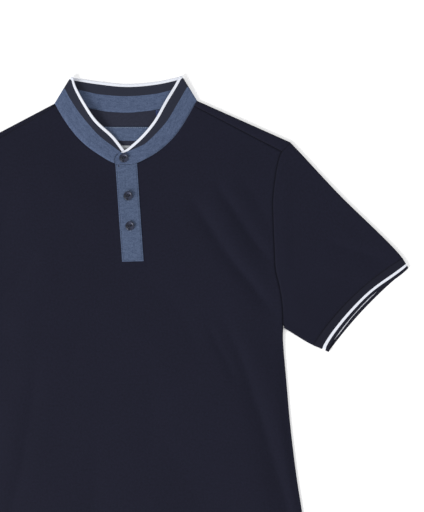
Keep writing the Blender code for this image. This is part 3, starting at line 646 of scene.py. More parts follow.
def heather_finish(name, low, high, pitch=RIB_PITCH):
    """Melange yarn: light and dark fibres in short streaks along the courses."""
    finish = Finish(name, roughness=0.92, sheen=0.08)
    uv, u, v = finish.cloth_axes()
    fine = finish.noise(finish.stretched(uv, *STREAK), 1.0, 3.0, 0.65)
    coarse = finish.noise(finish.stretched(uv, STREAK[0] / 4, STREAK[1] / 3), 1.0, 2.0)
    flecks = finish.plus(finish.times(fine, 0.7), finish.times(coarse, 0.3))
    height = finish.plus(finish.knit(u, v, pitch, HEATHER_COURSE), fine)
    return finish.cloth(finish.blend(finish.spread(flecks, 0.36, 0.64), low, high), height, 0.45, 0.22)


def thread_finish(name, colour):
    """Twisted sewing thread."""
    finish = Finish(name, roughness=0.6, sheen=0.1, specular=0.3)
    place = finish.add("ShaderNodeTexCoord", {}, output=3)
    strands = finish.noise(place, 2500.0, 1.0)
    finish.colour(finish.blend(strands, *tones(colour, 0.75, 1.2)))
    finish.bump(strands, 0.3, 0.1)
    return finish.material


def label_finish(name, low, high):
    """A woven label: a close plain weave, painted darker where it lies low, as shade."""
    finish = Finish(name, roughness=0.65, sheen=0.05, specular=0.25)
    u, v = finish.cloth_axes()[1:]
    weave = finish.times(finish.wave(u, 0.7), finish.wave(v, 0.7))
    # the colour follows the weave's height: painted shade in its low points
    return finish.cloth(finish.blend(finish.spread(weave, -1.0, 1.0), low, high), weave, 0.4, 0.08)


def button_finish():
    """Dark polyester with a faint pearly cloud."""
    finish = Finish("button_plastic", roughness=0.38, specular=0.35)
    place = finish.add("ShaderNodeTexCoord", {}, output=3)
    cloud = finish.noise(place, 260.0, 3.0)
    finish.colour(finish.blend(finish.spread(cloud, 0.4, 0.66), (0.009, 0.010, 0.017), (0.036, 0.041, 0.072)))
    finish.shader.inputs["Specular Tint"].default_value = (0.72, 0.80, 1.0, 1.0)
    finish.shader.inputs["Coat Weight"].default_value = 0.12
    finish.shader.inputs["Coat Roughness"].default_value = 0.2
    finish.bump(cloud, 0.15, 0.2)
    return finish.material


# Seams that two pieces share


class SideLines:
    """The seams and folds of one side, 1 for the wearer's left and -1 for the right."""

    def __init__(self, side):
        self.side = side
        self.neck = np.array(NECK_POINT[side])
        self.tip = mirrored(SHOULDER_TIP, side)
        self.along = unit(self.tip - self.neck)
        self.inward = -turned(self.along) * side
        sleeve_way = mirrored(SLEEVE_TOP[0], side) - self.tip
        self.tip_out = unit(unit(turned(sleeve_way)) * side - self.inward)
        peak_way = np.array(COLLAR_PEAK[side]) - self.neck
        self.collar_out = -unit(turned(peak_way)) * side
        self.neck_out = unit(self.collar_out - self.inward)
        self.set_armholes()
        self.set_collar_seam()

    def at_depth(self, line, depth):
        """The first place on a line that lies this far in front of the shoulder fold."""
        return int(np.argmax((line - self.neck) @ self.inward >= depth))

    def set_armholes(self):
        line = curve(mirrored(FRONT_ARMHOLE, self.side))
        corner = self.at_depth(line, SEAM_FORWARD[self.side][1])
        self.tip_centre = line[self.at_depth(line, FOLD_REACH)]
        self.armhole = line[corner:]
        self.back_armhole = curve([self.tip_centre, *mirrored(BACK_ARMHOLE, self.side)])

    def set_collar_seam(self):
        seam = [row[:2] for row in COLLAR_FRONT[self.side]]
        line = curve([self.neck, *seam, (0.0, CENTRE_SEAM)])
        corner = self.at_depth(line, SEAM_FORWARD[self.side][0])
        self.neck_centre = line[self.at_depth(line, FOLD_REACH)]
        self.collar_seam = line[corner:]

    def body_armhole(self):
        return shifted(self.armhole, -SEAM_GAP / 2 * self.side)

    def body_neckline(self):
        return shifted(self.collar_seam, SEAM_GAP * self.side)


SIDES = {side: SideLines(side) for side in (-1, 1)}


def half_width(y):
    """Half the body's width at y, with the armhole above the armpit."""
    body = sorted(SIDE)
    above = sorted((row[1], row[0]) for row in FRONT_ARMHOLE)
    table = np.array(body + above[1:])
    return np.interp(y, table[:, 0], table[:, 1])


def fold_height(points):
    """What the folds add: each is highest in its middle and fades at its ends."""
    size, reach = FOLD_WANDER
    spots = points + reach * np.stack([ripple(points, size, seed) for seed in WANDER_SEEDS], axis=1)
    total = sum(height * ripple(points, size, seed) for size, height, seed in UNEVENNESS)
    for x0, y0, x1, y1, x2, y2, half_left, half_right, height in FOLDS + SMALL_FOLDS:
        distance, place, left = nearest(spots, curve(((x0, y0), (x1, y1), (x2, y2)), FOLD_POINTS))
        half = mix(np.where(left, half_left, half_right), (half_left + half_right) / 2, EVENING)
        across = np.cos(np.clip(math.pi / 4 * distance / half, 0.0, math.pi / 2)) ** 2
        if height < 0:
            across = mix(across, across * np.exp(-distance / half), CREASE_SHARPNESS) * VALLEY_SHARE
        else:
            height = height * RIDGE_SHARE
        total += height * across * smooth(np.minimum(place, 1 - place) / FOLD_FADE)
    return total


def front_level(points):
    """Height of the middle of the front's wall at each (x, y)."""
    shape = points.shape[:-1]
    points = points.reshape(-1, 2)
    x, y = points[:, 0], points[:, 1]
    from_side = half_width(y) - abs(x)
    from_neck = np.linalg.norm(points - NECK_CENTRE, axis=1) - NECK_FLAT
    inside = smooth(from_side / LOFT_EDGE) * smooth((y - HEM) / LOFT_EDGE) * smooth(from_neck / LOFT_EDGE)
    shoulder = np.minimum(abs(x), SHOULDER_TIP[0]) * SHOULDER_TIP[1] / SHOULDER_TIP[0]
    inside *= smooth((shoulder - y) / LOFT_EDGE)
    level = FRONT_LEVEL + LOFT * inside + fold_height(points) * smooth(from_side / EDGE_TURN + 0.4)
    turn = fading(from_side / EDGE_TURN) * smooth((ARMPIT[1] - y) / ARMPIT_TURN)
    turn = np.maximum(turn, fading((y - HEM) / HEM_TURN))
    level = np.maximum(level, LOWEST_FRONT)
    return mix(level, EDGE_LEVEL, turn).reshape(shape)


SEAM_DROP = 1.0  # how far cloth turns down into a seam
NECK_DROP = 0.3  # and into the collar's
SEAM_TURN = 2.4  # over this distance
SEAM_STEPS = np.array((0.5, 1.0, 1.6, 2.3, 3.2))  # of the points next to it
SEAM_POINTS = 60


def seam_depth(points, lines):
    """How far points lie down in the given seams, from 0 to 1."""
    spots = points.reshape(-1, 2)
    distance = np.min([nearest(spots, even(line, SEAM_POINTS))[0] for line in lines], axis=0)
    return fading(distance / SEAM_TURN).reshape(points.shape[:-1])


# Body panels


ACROSS = (0.0, 0.6, 1.0)  # the neckline's and the shoulder's share of a half's width
UPWARD = (0.0, 0.6, 1.0)  # the side seam's and the armhole's share of its length
FRONT_COLUMNS = (38, 26)
FRONT_ROWS = (112, 66)
BODY_WIDTH = 232.0
BODY_LENGTH = 640.0


def side_seam():
    return curve([(x, y) for y, x in reversed(SIDE)])


def half_panel(lines, top_parts, armhole, columns, rows):
    """A half of the front or back, from hem to top and from the middle to its side."""
    side_parts = (side_seam() * (lines.side, 1.0), armhole[::-1])
    u = spaced(ACROSS, columns, 1 - SEAM_STEPS / BODY_WIDTH)
    v = spaced(UPWARD, rows, [*(1 - SEAM_STEPS / BODY_LENGTH), *(SEAM_STEPS / BODY_LENGTH)])
    side = along(side_parts, UPWARD, v)
    top = along(top_parts, ACROSS, u)
    top[-1] = side[-1]
    hem = mix(np.array((0.0, HEM)), side[0], u[:, None])
    centre = mix(hem[0], top[0], v[:, None])
    return patch(centre, side, hem, top, v, u)


def joined_halves(halves):
    """One grid of the wearer's right and left halves, which share their first column."""
    return np.concatenate([halves[-1][:, :0:-1], halves[1]], axis=1)


def make_front(finish):
    halves, seams, neck = {}, [], []
    for side, lines in SIDES.items():
        neckline = lines.body_neckline()[::-1]
        neckline[0, 0] = 0.0
        armhole = lines.body_armhole()
        shoulder = np.stack([neckline[-1], armhole[0]]) + lines.inward * SEAM_GAP
        neckline[-1], armhole[0] = shoulder
        halves[side] = half_panel(lines, (neckline, shoulder), armhole, FRONT_COLUMNS, FRONT_ROWS)
        seams += [shoulder, armhole]
        neck.append(neckline)
    rows = joined_halves(halves)
    depth, low = seam_depth(rows, seams), seam_depth(rows, neck)
    points = lifted(rows, front_level(rows) - np.maximum(SEAM_DROP * depth, NECK_DROP * low))
    # depth cubed is painted shade along the shoulder and armhole seams
    return wall("front_panel", [(points, rows, depth**3)], CLOTH, [finish])


def back_neckline(count=CURVE_POINTS):
    """The collar's seam on the back, from the wearer's right fold to the left."""
    return curve([SIDES[-1].neck_centre, *COLLAR_BACK_SEAM, SIDES[1].neck_centre], count)


BACK_COLUMNS = (18, 16)  # behind the neck and the shoulder
BACK_ROWS = (60, 30)  # along the side seam and the armhole


def make_back(finish, reverse):
    """The back, whose inner face, which the neck shows, is the cloth's reverse."""
    seam = shifted(back_neckline(), -SEAM_GAP)
    middle = len(seam) // 2
    seam[0] = SIDES[-1].neck_centre + SIDES[-1].along * SEAM_GAP
    seam[-1] = SIDES[1].neck_centre + SIDES[1].along * SEAM_GAP
    necklines = {1: seam[middle:], -1: seam[middle::-1]}
    halves, grids = {}, []
    for side, lines in SIDES.items():
        start, stop = necklines[side][-1], lines.tip_centre
        armhole = shifted(lines.back_armhole, -SEAM_GAP / 2 * side)
        armhole[0] = stop
        shoulder = np.stack([start, stop])
        halves[side] = half_panel(lines, (necklines[side], shoulder), armhole, BACK_COLUMNS, BACK_ROWS)
        grids.append(shoulder_flap(lines, halves[side][-1, -1 - BACK_COLUMNS[1] - len(SEAM_STEPS) :]))
    rows = joined_halves(halves)
    grids.insert(0, (lifted(rows, BACK_LEVEL), rows, 0.0))
    return wall("back_panel", grids, CLOTH, [reverse, finish], inside=1)


# From the shoulder fold to the forward seam: (share of the way, drop, painted shade)
FLAP_ROWS = ((0.4, 0.0, 0.0), (0.78, 0.0, 0.0), (0.92, 0.25, 0.1), (1.0, SEAM_DROP, 1.0))
SHOULDER_STEPS = 10  # round the fold


def shoulder_flap(lines, axis):
    """The back's cloth round the shoulder fold and on to the forward seam."""
    shares = np.linalg.norm(axis - axis[0], axis=1) / np.linalg.norm(axis[-1] - axis[0])
    seam = mix(lines.body_neckline()[0], lines.body_armhole()[0], shares[:, None])
    ends = smooth(shares * 12)[:, None], smooth((1 - shares) * 12)[:, None]
    outward = unit(mix(lines.neck_out, mix(lines.tip_out, -lines.inward, ends[1]), ends[0]))
    fold = bend(axis, outward, BACK_LEVEL, FRONT_LEVEL, SHOULDER_STEPS)
    # painted shade: none round the fold, darkest at the forward seam
    shade = np.concatenate([np.zeros(len(fold)), [dark for reach, drop, dark in FLAP_ROWS]])[:, None]
    top = [lifted(mix(axis, seam, reach), FRONT_LEVEL - drop) for reach, drop, dark in FLAP_ROWS]
    points = np.concatenate([fold, top], axis=0)
    grain = paired(axis[None, :, 0], covered(points)[:, None])
    return points, grain, shade


# Sleeves and cuffs


class SleeveLines:
    """The middle lines of a sleeve's two folded edges and its end seams."""

    def __init__(self, lines, rows):
        side = lines.side
        heel = mirrored(ARMPIT_BEND, side)
        seam = np.vstack([lines.tip_centre, lines.armhole])
        self.top_seam = shifted(seam, SEAM_GAP / 2 * side)
        self.under_seam = shifted(lines.back_armhole, SEAM_GAP / 2 * side)
        self.top_seam[-1] = self.under_seam[-1] = heel
        self.under_seam[0] = self.top_seam[0]
        top = shifted(mirrored((SHOULDER_TIP, *SLEEVE_TOP), side), -FOLD_REACH * side)
        under = shifted(mirrored((ARMPIT, *SLEEVE_UNDER), side), FOLD_REACH * side)
        self.top_edge = at(curve([self.top_seam[0], *top[1:]]), rows)
        self.under_edge = at(curve([heel, *under[1:]]), rows)
        straight_out = turned(ways(self.top_edge)) * side
        self.top_out = unit(mix(lines.tip_out, straight_out, smooth(rows * 12)[:, None]))
        self.under_out = -turned(ways(self.under_edge)) * side


BEND_STEPS = 8  # round a folded edge


def tube_rows(upper, lower, top_out, under_out, heights, low):
    """Closed rows: over the top layer, round the underarm, back below and round the top fold."""
    folds = []
    for column, outward in ((-1, under_out), (0, top_out)):
        rings = bend(upper[:, column], outward, low, heights[:, column], BEND_STEPS)
        folds.append(rings[1:-1].transpose(1, 0, 2))
    under, top = folds
    return np.concatenate([lifted(upper, heights), under[:, ::-1], lifted(lower[:, ::-1], low), top], axis=1)


def tube_grain(points, rows_length):
    """Cloth coordinates of closed rows: round the tube and along it."""
    closed = np.concatenate([points, points[:, :1]], axis=1)
    return paired(covered(closed, 1)[None], rows_length[:, None])


SLEEVE_LENGTH = 170.0
SLEEVE_ROWS = 44
SLEEVE_COLUMNS = 64
UNDER_COLUMNS = 36  # of the layer below


def make_sleeve(lines, name, finish):
    close = SEAM_STEPS / SLEEVE_LENGTH
    rows = spaced((0.0, 1.0), (SLEEVE_ROWS,), [*close, *(1 - close)])
    sleeve = SleeveLines(lines, rows)
    bow = SEAM_BOW * lines.side
    across = {count: evenly(count) for count in (SLEEVE_COLUMNS, UNDER_COLUMNS)}
    layers = []
    for seam, shares in zip((sleeve.top_seam, sleeve.under_seam), across.values()):
        end = bowed(sleeve.top_edge[-1], sleeve.under_edge[-1], bow, shares)
        layers.append(patch(sleeve.top_edge, sleeve.under_edge, at(seam, shares), end, rows, shares))
    upper, lower = layers
    u, v = across[SLEEVE_COLUMNS][None], rows[:, None]
    inside = smooth(np.minimum(u, 1 - u) * 6)
    loft = SLEEVE_LOFT * np.sin(math.pi * u) * smooth(v * 2.5) * smooth((1 - v) * 3)
    folds = fold_height(upper.reshape(-1, 2)).reshape(upper.shape[:2])
    heights = np.maximum(FRONT_LEVEL + (loft + folds) * inside, LOWEST_FRONT)
    depth = seam_depth(upper, [sleeve.top_seam, upper[-1]])
    heights -= SEAM_DROP * depth * inside
    points = tube_rows(upper, lower, sleeve.top_out, sleeve.under_out, heights, BACK_LEVEL)
    grain = tube_grain(points, rows * SLEEVE_LENGTH)
    # painted shade along the armhole and cuff seams, on the upper layer only
    shade = np.zeros(points.shape[:2])
    shade[:, : upper.shape[1]] = depth**3
    return wall(f"{name}_shell", [(points, grain, shade)], CLOTH, [finish], ring=True)


TIP_ARCH = 1.9  # power of the front edge's bow near the tip
HEEL_ARCH = 0.6  # and near the heel
SEAM_ROWS = (0.03, 0.07)  # shares at which a cuff has more points, near its seam
CUFF_ROWS = (5, 3, 3)  # in its navy, white and navy
CUFF_RISE = 0.1  # of a cuff's front over the sleeve's
CUFF_EDGE_DROP = 0.25
CUFF_SHADE = 0.8  # painted shade at its seam


def make_cuff(lines, name, finishes):
    """A knitted ring, whose back layer shows a little beyond its front one."""
    side = lines.side
    sleeve = SleeveLines(lines, evenly(9))
    outs = sleeve.top_out[-1], sleeve.under_out[-1]
    near = sleeve.top_edge[-1], sleeve.under_edge[-1]
    far = [mirrored(end, side) - out * FOLD_REACH for end, out in zip((CUFF_TIP, CUFF_HEEL), outs)]
    near = [seam + unit(edge - seam) * SEAM_GAP for seam, edge in zip(near, far)]
    knots = np.array(CUFF_BANDS) / CUFF_BANDS[-1]
    shares = spaced(knots, CUFF_ROWS, SEAM_ROWS)
    over, below = evenly(SLEEVE_COLUMNS), evenly(UNDER_COLUMNS)
    upper, lower = [], []
    arch = 4 * over * (1 - over)
    full = arch ** mix(TIP_ARCH, HEEL_ARCH, smooth((over - 0.15) * 2.0))
    to_heel = smooth((below - 0.6) * 4)
    centred = np.sin(math.pi * below**1.25) ** 0.3
    for share in shares:
        start, stop = (mix(*ends, share) for ends in zip(near, far))
        bow = mix(SEAM_BOW * arch, FRONT_BOW * full, share)[:, None] * side
        upper.append(mix(start, stop, over[:, None]) - turned(unit(stop - start)) * bow)
        wide = [np.interp(share, knots, bands) for bands in (INNER_BANDS, HEEL_BANDS)]
        behind = mix(share, mix(*wide, to_heel), centred)[:, None]
        t = below[:, None]
        aside = -turned(unit(stop - start)) * mix(SEAM_BOW, BACK_BOW, behind) * side
        begin, end = (mix(*ends, behind) for ends in zip(near, far))
        lower.append(mix(begin, end, t) + aside * 4 * t * (1 - t))
    upper, lower = np.array(upper), np.array(lower)
    inside = smooth(np.minimum(over, 1 - over) * 8)[None]
    heights = FRONT_LEVEL + CUFF_RISE - SEAM_DROP * fading(shares[:, None] * 6) * inside
    heights = heights - CUFF_EDGE_DROP * smooth((shares[:, None] - 0.8) * 5) * inside
    places = [np.repeat(out[None], len(shares), axis=0) for out in outs]
    points = tube_rows(upper, lower, *places, heights, RIB_LEVEL)
    grain = tube_grain(points, shares * CUFF_BANDS[-1])
    white = (shares >= knots[1] - 1e-6) & (shares < knots[2] - 1e-6)
    # painted shade near its seam
    grid = (points, grain, CUFF_SHADE * fading(shares[:, None] * 15))
    return wall(f"{name}_shell", [grid], RIB, finishes, lambda row, column: int(white[row]), ring=True)


# Collar


ARM_SECTIONS = 70
BACK_SECTIONS = 60
FOLD_SECTIONS = 12
BAND_COLUMNS = (7, 5, 4)  # in the heather, the navy and the white


def across_band(points):
    """Sections given by their four lines, (sections, 4, ...), as finer ones, with their shares."""
    parts, shares = [], []
    for place, count in enumerate(BAND_COLUMNS):
        t = np.linspace(0.0, 1.0, count, endpoint=False)
        parts.append(mix(points[:, place, None], points[:, place + 1, None], t[None, :, None]))
        shares.append(mix(BAND_SHARES[place], BAND_SHARES[place + 1], t))
    parts.append(points[:, -1:])
    return np.concatenate(parts, axis=1), np.concatenate([*shares, [1.0]])


class CollarArm:
    """Sections of one front arm of the collar, from the shoulder fold to the centre front."""

    def __init__(self, lines):
        table = COLLAR_FRONT[lines.side]
        peak = np.array(COLLAR_PEAK[lines.side]) - lines.collar_out * (PEAK_RADIUS + RIB / 2)
        self.over = lines.side == 1
        self.fold = (lines.neck_centre, peak)
        self.fold_out = (lines.neck_out, lines.collar_out)
        stripe_start = mix(lines.neck_centre, peak, STRIPE_AT_FOLD)
        self.seam = even(np.vstack([lines.neck_centre, lines.collar_seam]), ARM_SECTIONS)
        self.edge = curve([peak, *[row[4:] for row in table], NECK_V], ARM_SECTIONS)
        stripe = [stripe_start, *[row[2:4] for row in table], STRIPE_END[lines.side]]
        self.stripe = curve(stripe, ARM_SECTIONS)

    def sections(self):
        width = np.linalg.norm(self.edge - self.stripe, axis=1)
        tip = mix(self.edge, self.stripe, np.minimum(TIPPING / width, MOST_TIPPING)[:, None])
        points, places = across_band(np.stack([self.seam, self.stripe, tip, self.edge], axis=1))
        shares = evenly(ARM_SECTIONS)[:, None]
        return lifted(points, self.height(shares, places[None]))

    def height(self, share, place):
        """Height of the middle of the wall, share along the arm and place from seam to edge."""
        start = RIB_LEVEL + (FRONT_LEVEL - BACK_LEVEL)
        if self.over:
            end, reach, settled = TAB_LEVEL, TAB_EDGE_REACH, (share - TAB_RISE_AT) / (TAB_REACH - TAB_RISE_AT)
        else:
            end, reach, settled = UNDER_LEVEL, UNDER_REACH, share * 4
        seam = mix(start, end, smooth(settled))
        edge = mix(EDGE_RISE, end, smooth((share - EDGE_RISE_AT) / (reach - EDGE_RISE_AT)))
        peak = RIB_LEVEL + 2 * PEAK_RADIUS
        edge = mix(peak, edge, smooth(share / EDGE_RISE_AT))
        drop = 2 * NECK_DROP * fading(place * 9) * fading((share - 0.72) * 6)
        return mix(seam, edge, place**BAND_CURL) - drop


TAB_ROWS = 16
TAPER_ROWS = 5  # over which its white ends
TAPER = (0.85, 0.995)  # the share at which the white starts, before and after
TAB_SHADE = 2.0  # painted shadow at its outline, in units of a seam's shade
TAB_SHADE_REACH = 1.3


def tab_sections(tops, seams, level, seam_y):
    """Sections of a collar end, from its edge to the seam below, where the white tapers off."""
    edge = curve(tops, TAB_ROWS)
    seam = curve([(x, seam_y) for x in seams], TAB_ROWS)
    taper = mix(*TAPER, smooth(np.arange(TAB_ROWS) / TAPER_ROWS))[:, None]
    lines = [mix(seam, edge, share) for share in (*BAND_SHARES[:2], taper, 1.0)]
    return lifted(across_band(np.stack(lines, axis=1))[0], level)[1:]


def tab_shade(tab):
    """How dark the tab's painted shadow is near its outline, once the white has ended."""
    from_edge = np.linalg.norm(tab - tab[:, -1:], axis=2)
    from_end = np.linalg.norm(tab - tab[-1:], axis=2)
    near = fading((np.minimum(from_edge, from_end) - 0.2) / TAB_SHADE_REACH)
    return TAB_SHADE * near * smooth((np.arange(len(tab))[:, None] - TAPER_ROWS) / 2)


def fold_sections(arm):
    """Sections round the fold at the shoulder, from the back up to the front."""
    places = across_band(np.zeros((1, 4, 1)))[1]
    centres = mix(arm.fold[0], arm.fold[1], places[:, None])
    outward = unit(mix(arm.fold_out[0], arm.fold_out[1], np.minimum(3 * places, 1.0)[:, None]))
    radius = mix((FRONT_LEVEL - BACK_LEVEL) / 2, PEAK_RADIUS, places)
    return bend(centres, outward, RIB_LEVEL, RIB_LEVEL + 2 * radius, FOLD_SECTIONS)


def back_sections(arms):
    """Sections of the band behind the neck, from the wearer's right to the left."""
    starts = {side: [mix(*arms[side].fold, place) for place in BAND_SHARES] for side in (-1, 1)}
    seam = back_neckline(BACK_SECTIONS)
    stripe = curve([starts[-1][1], *COLLAR_BACK_STRIPE, starts[1][1]], BACK_SECTIONS)
    edge = curve([starts[-1][3], *COLLAR_BACK_EDGE, starts[1][3]], BACK_SECTIONS)
    tip = edge + unit(stripe - edge) * TIPPING
    points = np.stack([seam, stripe, tip, edge], axis=1)
    points[0], points[-1] = starts[-1], starts[1]
    return lifted(across_band(points)[0], RIB_LEVEL)


def make_collar(finishes):
    """One band: the right arm, which lies under, the back of the neck and the left arm, over it."""
    arms = {side: CollarArm(SIDES[side]) for side in (-1, 1)}
    over, under = arms[1].sections(), arms[-1].sections()
    over_tab = tab_sections(OVER_TAB, OVER_SEAM, TAB_LEVEL, CENTRE_SEAM)
    under_tab = tab_sections(UNDER_TAB, [place[0] for place in UNDER_TAB], UNDER_LEVEL, UNDER_SEAM)
    folds = {side: fold_sections(arms[side]) for side in (-1, 1)}
    over[0], under[0] = folds[1][-1], folds[-1][-1]
    right = [under_tab[::-1], under[::-1], folds[-1][-2:0:-1]]
    left = [folds[1][1:-1], over, over_tab]
    rows = np.concatenate([*right, back_sections(arms), *left])
    first_striped, last_striped = len(under_tab), len(rows) - len(over_tab) - 1
    shade = np.zeros(rows.shape[:2])
    # painted shadow along the over tab's outline
    shade[-len(over_tab) :] = tab_shade(over_tab)
    across = np.linalg.norm(rows - rows[:, :1], axis=2)
    grain = paired(covered(rows[:, 3])[:, None], across)
    bands = np.repeat((0, 1, 2), BAND_COLUMNS)

    white_end = last_striped + TAPER_ROWS - 1

    def finish_at(row, column):
        band = int(bands[column])
        return band if first_striped <= row < (white_end if band == 2 else last_striped) else 0

    return wall("collar_band", [(rows, grain, shade)], RIB, finishes, finish_at)


# Placket, inner strip and labels


PLACKET_WALL = 0.8
PLACKET_LIFT = 0.45  # of the middle of its wall over the front's face
PLACKET_SEW = 1.7  # from its edges to their stitching
PLACKET_TUCK = 0.8  # of its top under the collar
PLACKET_STEPS = np.array((0.4, 0.8, 1.3, 1.7, 2.1, 2.9))  # of its points, from its edges
PLACKET_WIDTH = 30.0
PLACKET_LENGTH = 136.0
PLACKET_COLUMNS = 22
PLACKET_ROWS = 80
PLACKET_END_TURN = 0.8  # over which its edges turn down
QUILT = 0.25  # how deep its stitching draws it in, and how far its edges turn down
QUILT_REACH = 1.2


def make_placket(finish):
    across, down = PLACKET_STEPS / PLACKET_WIDTH, PLACKET_STEPS / PLACKET_LENGTH
    u = spaced((0.0, 1.0), (PLACKET_COLUMNS,), [*across, *(1 - across)])
    v = spaced((0.0, 1.0), (PLACKET_ROWS,), 1 - down)[:, None]
    left = mix(PLACKET_TOP[0], PLACKET_BOTTOM[0], v)
    right = mix(PLACKET_TOP[1], PLACKET_BOTTOM[1], v)
    x = mix(left, right, u[None])
    neckline = SIDES[1].body_neckline()[::-1]
    start = np.interp(x[0], neckline[:, 0], neckline[:, 1])
    start = np.minimum(start, PLACKET_START + 2.0) + PLACKET_TUCK
    y = mix(start[None], PLACKET_END, v)
    rows = paired(x, y)
    from_edge = np.minimum.reduce([x - left, right - x, y - PLACKET_END + 0.0 * x])
    quilt = QUILT * fading(abs(from_edge - PLACKET_SEW) / QUILT_REACH)
    edge = QUILT * fading(from_edge / PLACKET_END_TURN)
    points = lifted(rows, front_level(rows) + CLOTH / 2 + PLACKET_LIFT - quilt - edge)
    # half the drawn-in and turned-down depth is painted shade
    return wall("placket_band", [(points, rows, 0.5 * (quilt + edge))], PLACKET_WALL, [finish])


STRIP_GAP = 0.05  # under a strip or label
STRIP_SEW = 1.3  # from its edge to its stitching


def rotated(points, angle):
    """(x, y) points turned to the left round the origin."""
    return points * math.cos(angle) + turned(points) * math.sin(angle)


def make_inner_strip(name, shape, finish, steps, low_shade=0.0):
    """A flat strip that lies on the back panel, inside the neck, with painted shade over its lower part."""
    (width, height, thickness), centre, turn = shape
    u = np.linspace(-0.5, 0.5, steps[0] + 1)[None] * width
    v = np.linspace(-0.5, 0.5, steps[1] + 1)[:, None] * height
    grain = paired(u, v)
    points = lifted(rotated(grain, turn) + centre, CLOTH + STRIP_GAP + thickness / 2)
    # painted shade that grows towards the lower edge, low_shade at most
    shade = low_shade * smooth((0.35 - v / height) / 0.25)
    return wall(name, [(points, grain, shade)], thickness, [finish])


# Buttons, buttonholes and stitching


def holed(blank, posts):
    """The blank with the posts taken away, both as objects, which it replaces."""
    cut = blank.modifiers.new("Holes", "BOOLEAN")
    cut.object = posts
    cut.solver = "EXACT"
    graph = bpy.context.evaluated_depsgraph_get()
    mesh = bpy.data.meshes.new_from_object(blank.evaluated_get(graph))
    for used in (blank, posts):
        bpy.data.objects.remove(used)
    return mesh


def hole_spots():
    angles = [HOLE_TURN + math.pi / 2 * quarter for quarter in range(4)]
    return [(HOLE_SPREAD * math.cos(angle), HOLE_SPREAD * math.sin(angle)) for angle in angles]


def button_mesh(finish):
    """A turned button with a raised rim, a dished middle and four holes, in metres from its underside."""
    form = bmesh.new()
    outline = [form.verts.new((radius * MM, 0.0, height * MM)) for radius, height in BUTTON_PROFILE]
    outline += [form.edges.new(pair) for pair in zip(outline, outline[1:])]
    turn = {"axis": (0, 0, 1), "cent": (0, 0, 0), "angle": 2 * math.pi, "steps": BUTTON_SEGMENTS}
    bmesh.ops.spin(form, geom=outline, **turn)
    blank = linked("button_blank", meshed("button_blank", form))
    form = bmesh.new()
    sizes = {"radius1": HOLE_RADIUS * MM, "radius2": HOLE_RADIUS * MM, "depth": 8 * MM}
    for x, y in hole_spots():
        post = bmesh.ops.create_cone(form, cap_ends=True, segments=20, **sizes)
        bmesh.ops.translate(form, verts=post["verts"], vec=Vector((x, y, 0.0)) * MM)
    mesh = holed(blank, linked("button_posts", meshed("button_posts", form)))
    mesh.materials.clear()
    mesh.materials.append(finish)
    mesh.shade_smooth()
    mesh.set_sharp_from_angle(angle=math.radians(35.0))
    return mesh


def button_base(number):
    """The underside of a button's solid, in table millimetres."""
    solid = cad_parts[f"button_{number}"]
    low = min(corner[2] for corner in solid.bound_box)
    level = (solid.matrix_world @ Vector((0, 0, low))).z / MM
    return np.array((*BUTTONS[number - 1], level - BUTTON_SINK[number - 1]))


def make_buttons(finish, thread):
    mesh = button_mesh(finish)
    for number in range(1, len(BUTTONS) + 1):
        base = button_base(number)
        button = linked(f"button_{number}_disc", mesh)
        button.location = placed(base)
        ride(button, f"button_{number}")
        spots = [base + (x, y, SEW_LEVEL) for x, y in hole_spots()]
        runs = crossed_threads(spots[0], spots[2], 0.0) + crossed_threads(spots[1], spots[3], UPPER_THREADS)
        ride(cords(f"button_{number}_thread", runs, thread, THREAD_RADIUS), f"button_{number}")


THREAD_RADIUS = 0.17
THREADS_ASIDE = (-0.22, 0.0, 0.22)
THREAD_DIP = 0.55  # into the holes
THREAD_RISE = 0.1  # in the middle
UPPER_THREADS = 0.16  # how much higher the second three lie


def crossed_threads(start, stop, height):
    """Three threads side by side from one hole to another, which dip into both."""
    way = unit(stop - start)
    lead = way * 0.35
    runs = []
    for aside in THREADS_ASIDE:
        offset = np.array((*turned(way[:2]) * aside, height))
        low = offset - (0.0, 0.0, THREAD_DIP)
        middle = mix(start, stop, 0.5) + offset + (0.0, 0.0, THREAD_RISE)
        places = [start + low, start + lead + offset, middle, stop - lead + offset, stop + low]
        runs.append(curve(places, 24))
    return runs


def ride(piece, node):
    """A piece that stands for a solid, or is sewn to it."""
    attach(piece, "root")
    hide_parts(node)


CORD_SIDES = 8


def cords(name, runs, finish, radius):
    """Round threads along lines of (x, y, z) in millimetres, as one piece."""
    points, faces = [], []
    angles = round_angles(CORD_SIDES)
    for line in runs:
        forward = ways(line)
        aside = unit(np.cross(forward, (0.3, 0.2, 1.0)))
        upward = np.cross(aside, forward)
        across = np.einsum("k,nd->nkd", np.cos(angles), aside)
        upright = np.einsum("k,nd->nkd", np.sin(angles), upward)
        rings = line[:, None] + radius * (across + upright)
        faces += ring_quads(len(line), CORD_SIDES, len(points))
        points += rings.reshape(-1, 3).tolist()
    return soft_piece(name, points, faces, finish)


HOLE_LENGTH = 15.0  # of a buttonhole
HOLE_WIDTH = 2.6
HOLE_PITCH = 0.42  # between its stitches
HOLE_BAR = 3  # stitches that close each end
HOLE_SLIT = 0.35  # by which the others are shorter, for the slit
HOLE_SHIFT = 0.17  # and how far they move out
HOLE_RISE = np.array((0.0, 0.0, 0.2))  # half the height of a stitch


